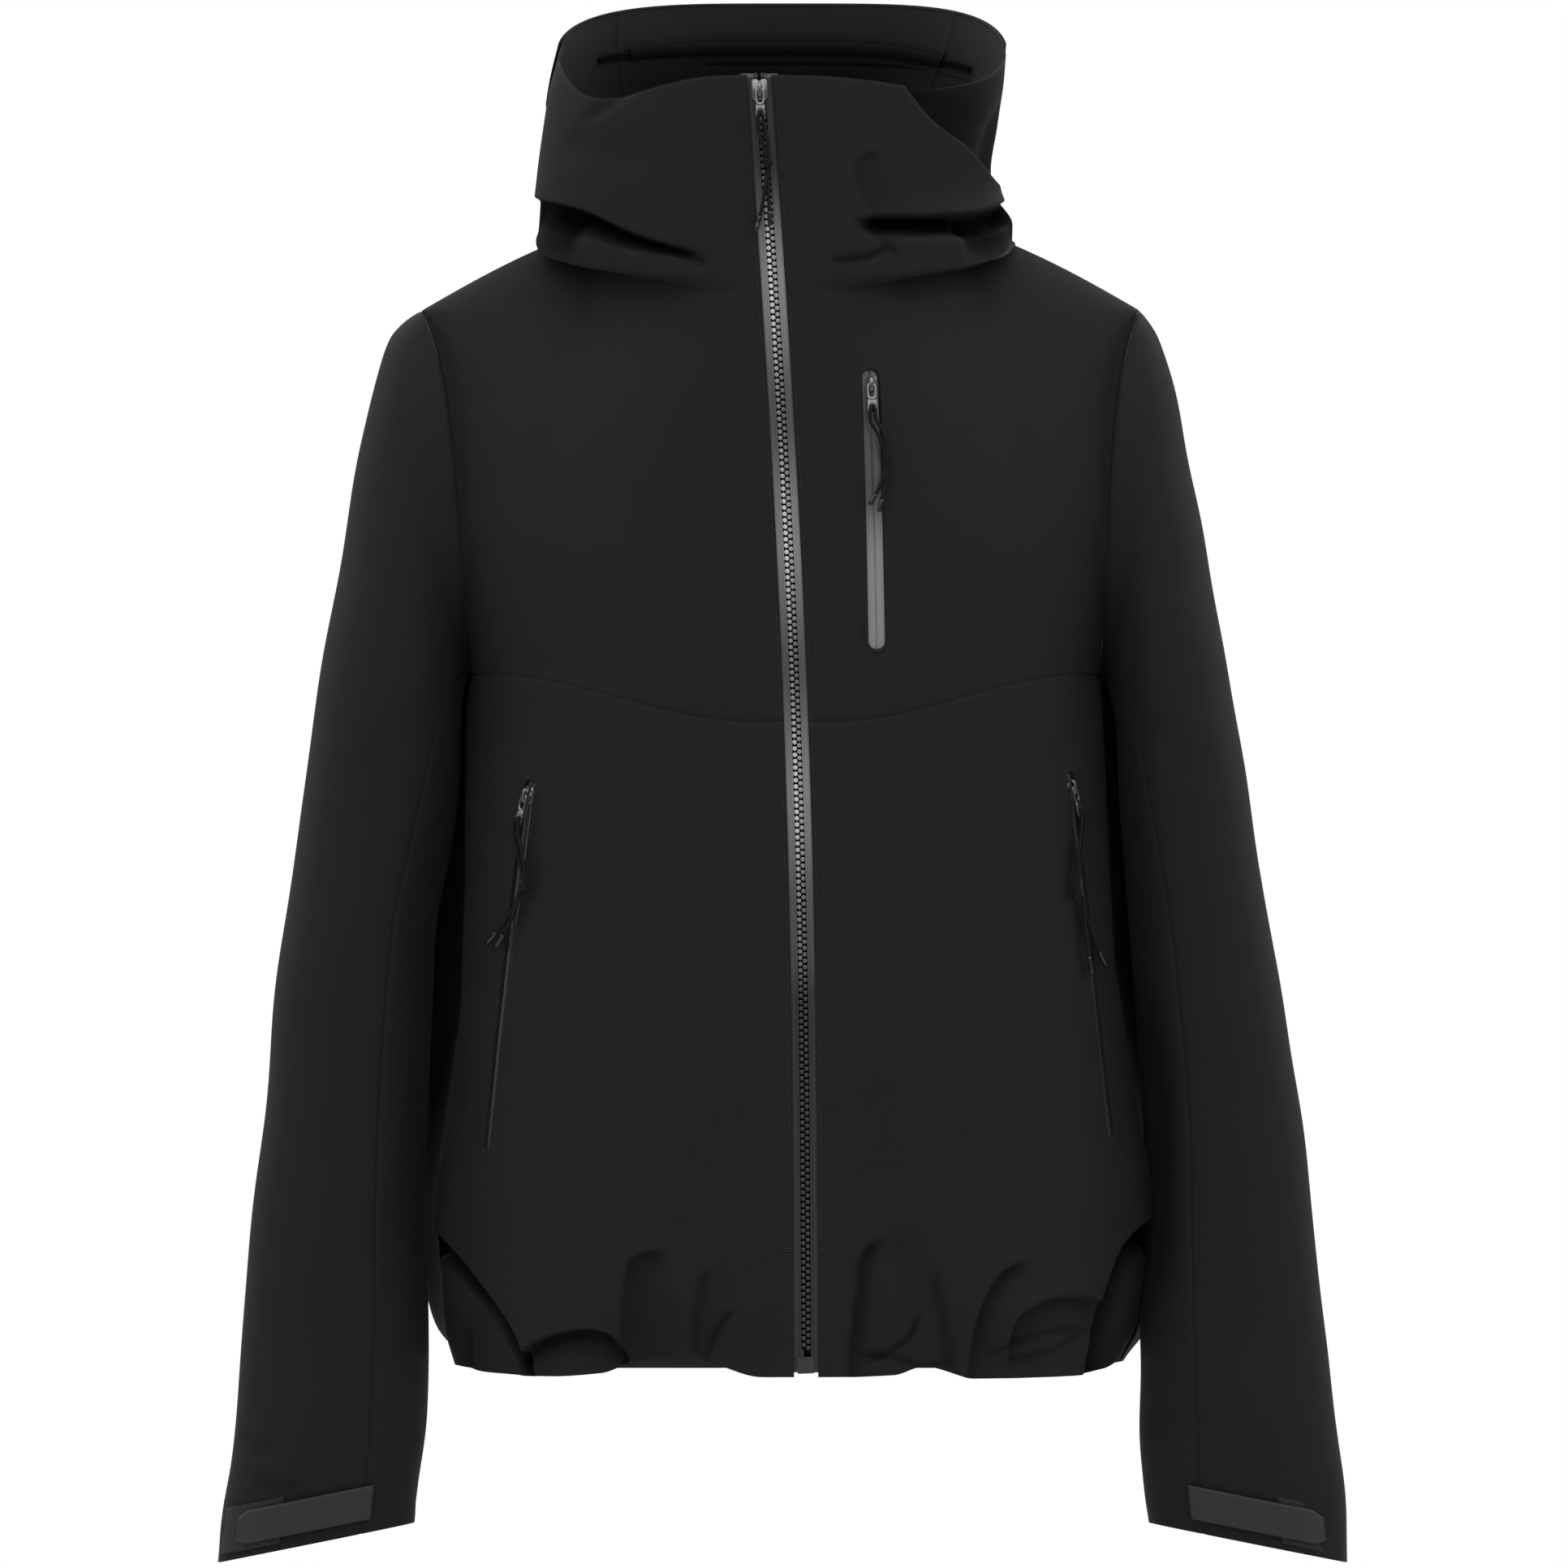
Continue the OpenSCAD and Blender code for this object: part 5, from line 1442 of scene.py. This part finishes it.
def sleeve_ring(s, k, a):
    """Sleeve skin at ring k (0 to 11) and angle a from the outer edge, positive over the front."""
    oz, ix, iz, half, back = (spline(RINGS, t, k) for t in (OUTER_DROP, INNER_HALF[s], INNER_DROP, RING_HALF,
                                                             RING_BACK))
    ox = profile(OUTLINE[s], oz)
    e = mix(1, 0.8, k / LAST_RING)
    c, f = bent(np.cos(a), e), bent(np.sin(a), e)
    x, z = mix(ix, ox, (1 + c) / 2), -mix(iz, oz, (1 + c) / 2)
    p = xyz(s * x, back - half * f, z)
    seam = armhole(s, np.pi - np.abs(a))
    seam[..., 1] = np.where(a < 0, 2 * SIDE_Y - seam[..., 1], seam[..., 1])
    return mix(seam, p, ease(0, 1, k)[..., None])


def sleeve_relief(s, p, k, a):
    # Height of the folds and the shade painted into them, on the front of the sleeve.
    height, shade = folded(p, SLEEVE_CREASES[s])
    calm = ease(0, 1.2, k) * ease(LAST_RING, LAST_RING - 0.6, k)
    front = ease(0, 0.3, np.sin(a))
    return (undulate(p, 71 + s, 1.0) + height * front) * calm, shade * front


def sleeve_weight(k, a):
    """0 at the armhole, 1 a hand's width down the outside and further down the inside."""
    down = np.interp(k, RINGS, (0, 25, 55, 110, 190, 285, 365, 480, 570, 640, 680, 715))
    return smooth(down / mix(110, 300, (1 - np.cos(a)) / 2))


def ring_rows(count):
    """Ring numbers spaced evenly along the sleeve, with fine ones at both ends."""
    run = OUTER_DROP - OUTER_DROP[0] + np.minimum(20, RINGS * 20)
    return np.interp(spread(count) * run[-1], run, RINGS)


def sleeve_seam(k):
    """Angle of the sleeve seams, which start low in the armhole and come forward on the forearm."""
    return np.radians(mix(160, 112, ease(0, 6.5, k)))


for s, side in SIDES:
    for part, steps in (("outer", 90), ("under", 50)):
        share, k = lattice(spread(steps), ring_rows(170))
        seam = sleeve_seam(k)
        a = mix(-seam, seam, share) if part == "outer" else mix(seam, 2 * math.pi - seam, share)
        a = np.where(a > math.pi, a - 2 * math.pi, a)
        p = sleeve_ring(s, k, a)
        height, shade = sleeve_relief(s, p, k, a)
        p = rolled(raised(p, s < 0, height), s < 0, "i0 i1 j0")
        piece = sheet(f"sleeve_{part}_{side}_panel", p, s < 0, shell_fabric, shade=shade)
        finish_piece(piece, f"sleeve_{side}", f"sleeve_{part}_{side}", weights=sleeve_weight(k, a))

# ---- cuff tabs and patches

CUFF_OUT, CUFF_IN = 312.0, 203.0  # how far the ends of a cuff are from the middle of the jacket
CUFF_DROP_IN, CUFF_DROP_OUT = 709, 731
TAB_LEN, TAB_W, TAB_UP = 77.0, 19.0, 17.0
TAB_OFF, PATCH_OFF = 3.9, 1.5  # how far the tab and the patch lie off the sleeve


def cuff_front(s, x, up, off):
    """Point off the front face of a cuff: x from the middle of the jacket, up from the cuff edge."""
    t = (x - CUFF_IN) / (CUFF_OUT - CUFF_IN)
    f = power(1 - power(np.abs(2 * t - 1), 2.5), 0.4)
    z = up - mix(CUFF_DROP_IN, CUFF_DROP_OUT, t)
    return xyz(s * (x - up * 0.11), -6 - (33 + 5 * up / 40) * f - off, z)


for s, side in SIDES:
    tab_end = CUFF_OUT - 9
    x, w = lattice(np.linspace(CUFF_OUT - TAB_LEN - 7, tab_end, 70), np.linspace(-1, 1, 15))
    half = TAB_W / 2 * (1 - 0.34 * np.clip((x - tab_end + 5.5) / 5.5, 0, 1))
    edge = 0.45 * np.abs(w) ** 12
    p = cuff_front(s, x, TAB_UP + w * half, TAB_OFF - edge)
    piece = sheet(f"cuff_tab_{side}_strap", p, s < 0, tab_fabric, 1.2)
    finish_piece(piece, f"cuff_tab_{side}", f"cuff_tab_{side}")
    x, up = lattice(np.linspace(CUFF_OUT - 34, CUFF_OUT - 1.0, 40), np.linspace(4, 30, 20))
    p = cuff_front(s, x, up, PATCH_OFF)
    piece = sheet(f"cuff_hook_patch_{side}", p, s < 0, hook_patch, 0.7)
    finish_piece(piece, f"sleeve_{side}", f"cuff_patch_{side}")

# ---- stage, light and camera

# The camera, in metres: what it looks at, how wide its view is there, and how far away it stands
VIEW_MID = Vector((0.0018, 0.0, -0.2997))
VIEW_WIDTH = 0.8694
CAMERA_AWAY = 24.0
FLOOR_R, FLOOR_DROP = 800, 800


def floor():
    shape = Shape()
    w = turns(64)
    rim = xyz(FLOOR_R * np.cos(w), FLOOR_R * np.sin(w), -FLOOR_DROP)
    shape.add(rim, [tuple(range(64))], np.zeros((64, 2)))
    pale = Finish("pale_floor", (0.82, 0.82, 0.82), 0.8, object_space=True)
    shape.build("floor", pale.material, False)


# What reflections see above the dim of the room: where a change in light begins and ends, and how large
# it is. One bright band of soft boxes is high up, and a weak one is low down.
ROOM_LIGHT = 0.22
ROOM_STEPS = ((0.25, 0.4, 1.5), (0.75, 0.85, -1.2), (-0.6, -0.5, 0.35), (-0.4, -0.3, -0.35))


def world():
    """White room that looks dark, with two bright bands, in reflections."""
    studio = bpy.data.worlds.new("studio")
    bpy.context.scene.world = studio
    studio.use_nodes = True
    nodes = Nodes(studio.node_tree)
    up = nodes.height("Generated")
    strength = ROOM_LIGHT
    for low, high, light in ROOM_STEPS:
        strength = nodes.calc("ADD", nodes.remap(up, low, high, 0.0, light), strength)
    glossy = nodes.add("LightPath")["Is Glossy Ray"]
    back = nodes.tree.nodes["Background"].inputs
    back["Color"].default_value = (1, 1, 1, 1)
    nodes.feed(back["Strength"], nodes.add("Mix", {0: glossy, 2: 1.0, 3: strength})[0])


def soft_light(name, place, target, size, power_w):
    data = bpy.data.lights.new(name, "AREA")
    data.shape = "RECTANGLE"
    data.size, data.size_y = size
    data.energy = power_w
    obj = placed(name, data)
    obj.location = place
    obj.rotation_mode = "QUATERNION"
    obj.rotation_quaternion = (Vector(target) - Vector(place)).to_track_quat("-Z", "Y")


def camera():
    data = bpy.data.cameras.new("camera")
    data.sensor_width = 36
    data.lens = data.sensor_width * CAMERA_AWAY / VIEW_WIDTH
    data.clip_end = 60
    obj = placed("camera", data)
    obj.location = VIEW_MID + Vector((0, -CAMERA_AWAY, 0))
    obj.rotation_euler = (math.pi / 2, 0, 0)
    bpy.context.scene.camera = obj


floor()
world()
soft_light("top_box", (0, -0.9, 1.9), (0, 0, -0.2), (1.6, 1.2), 10)
soft_light("left_strip", (-1.9, -0.2, 0.1), (-0.25, 0, -0.3), (0.7, 2.0), 1.5)
soft_light("right_strip", (1.9, -0.2, 0.1), (0.25, 0, -0.3), (0.7, 2.0), 1.5)
camera()
bpy.context.scene.view_settings.view_transform = "Standard"
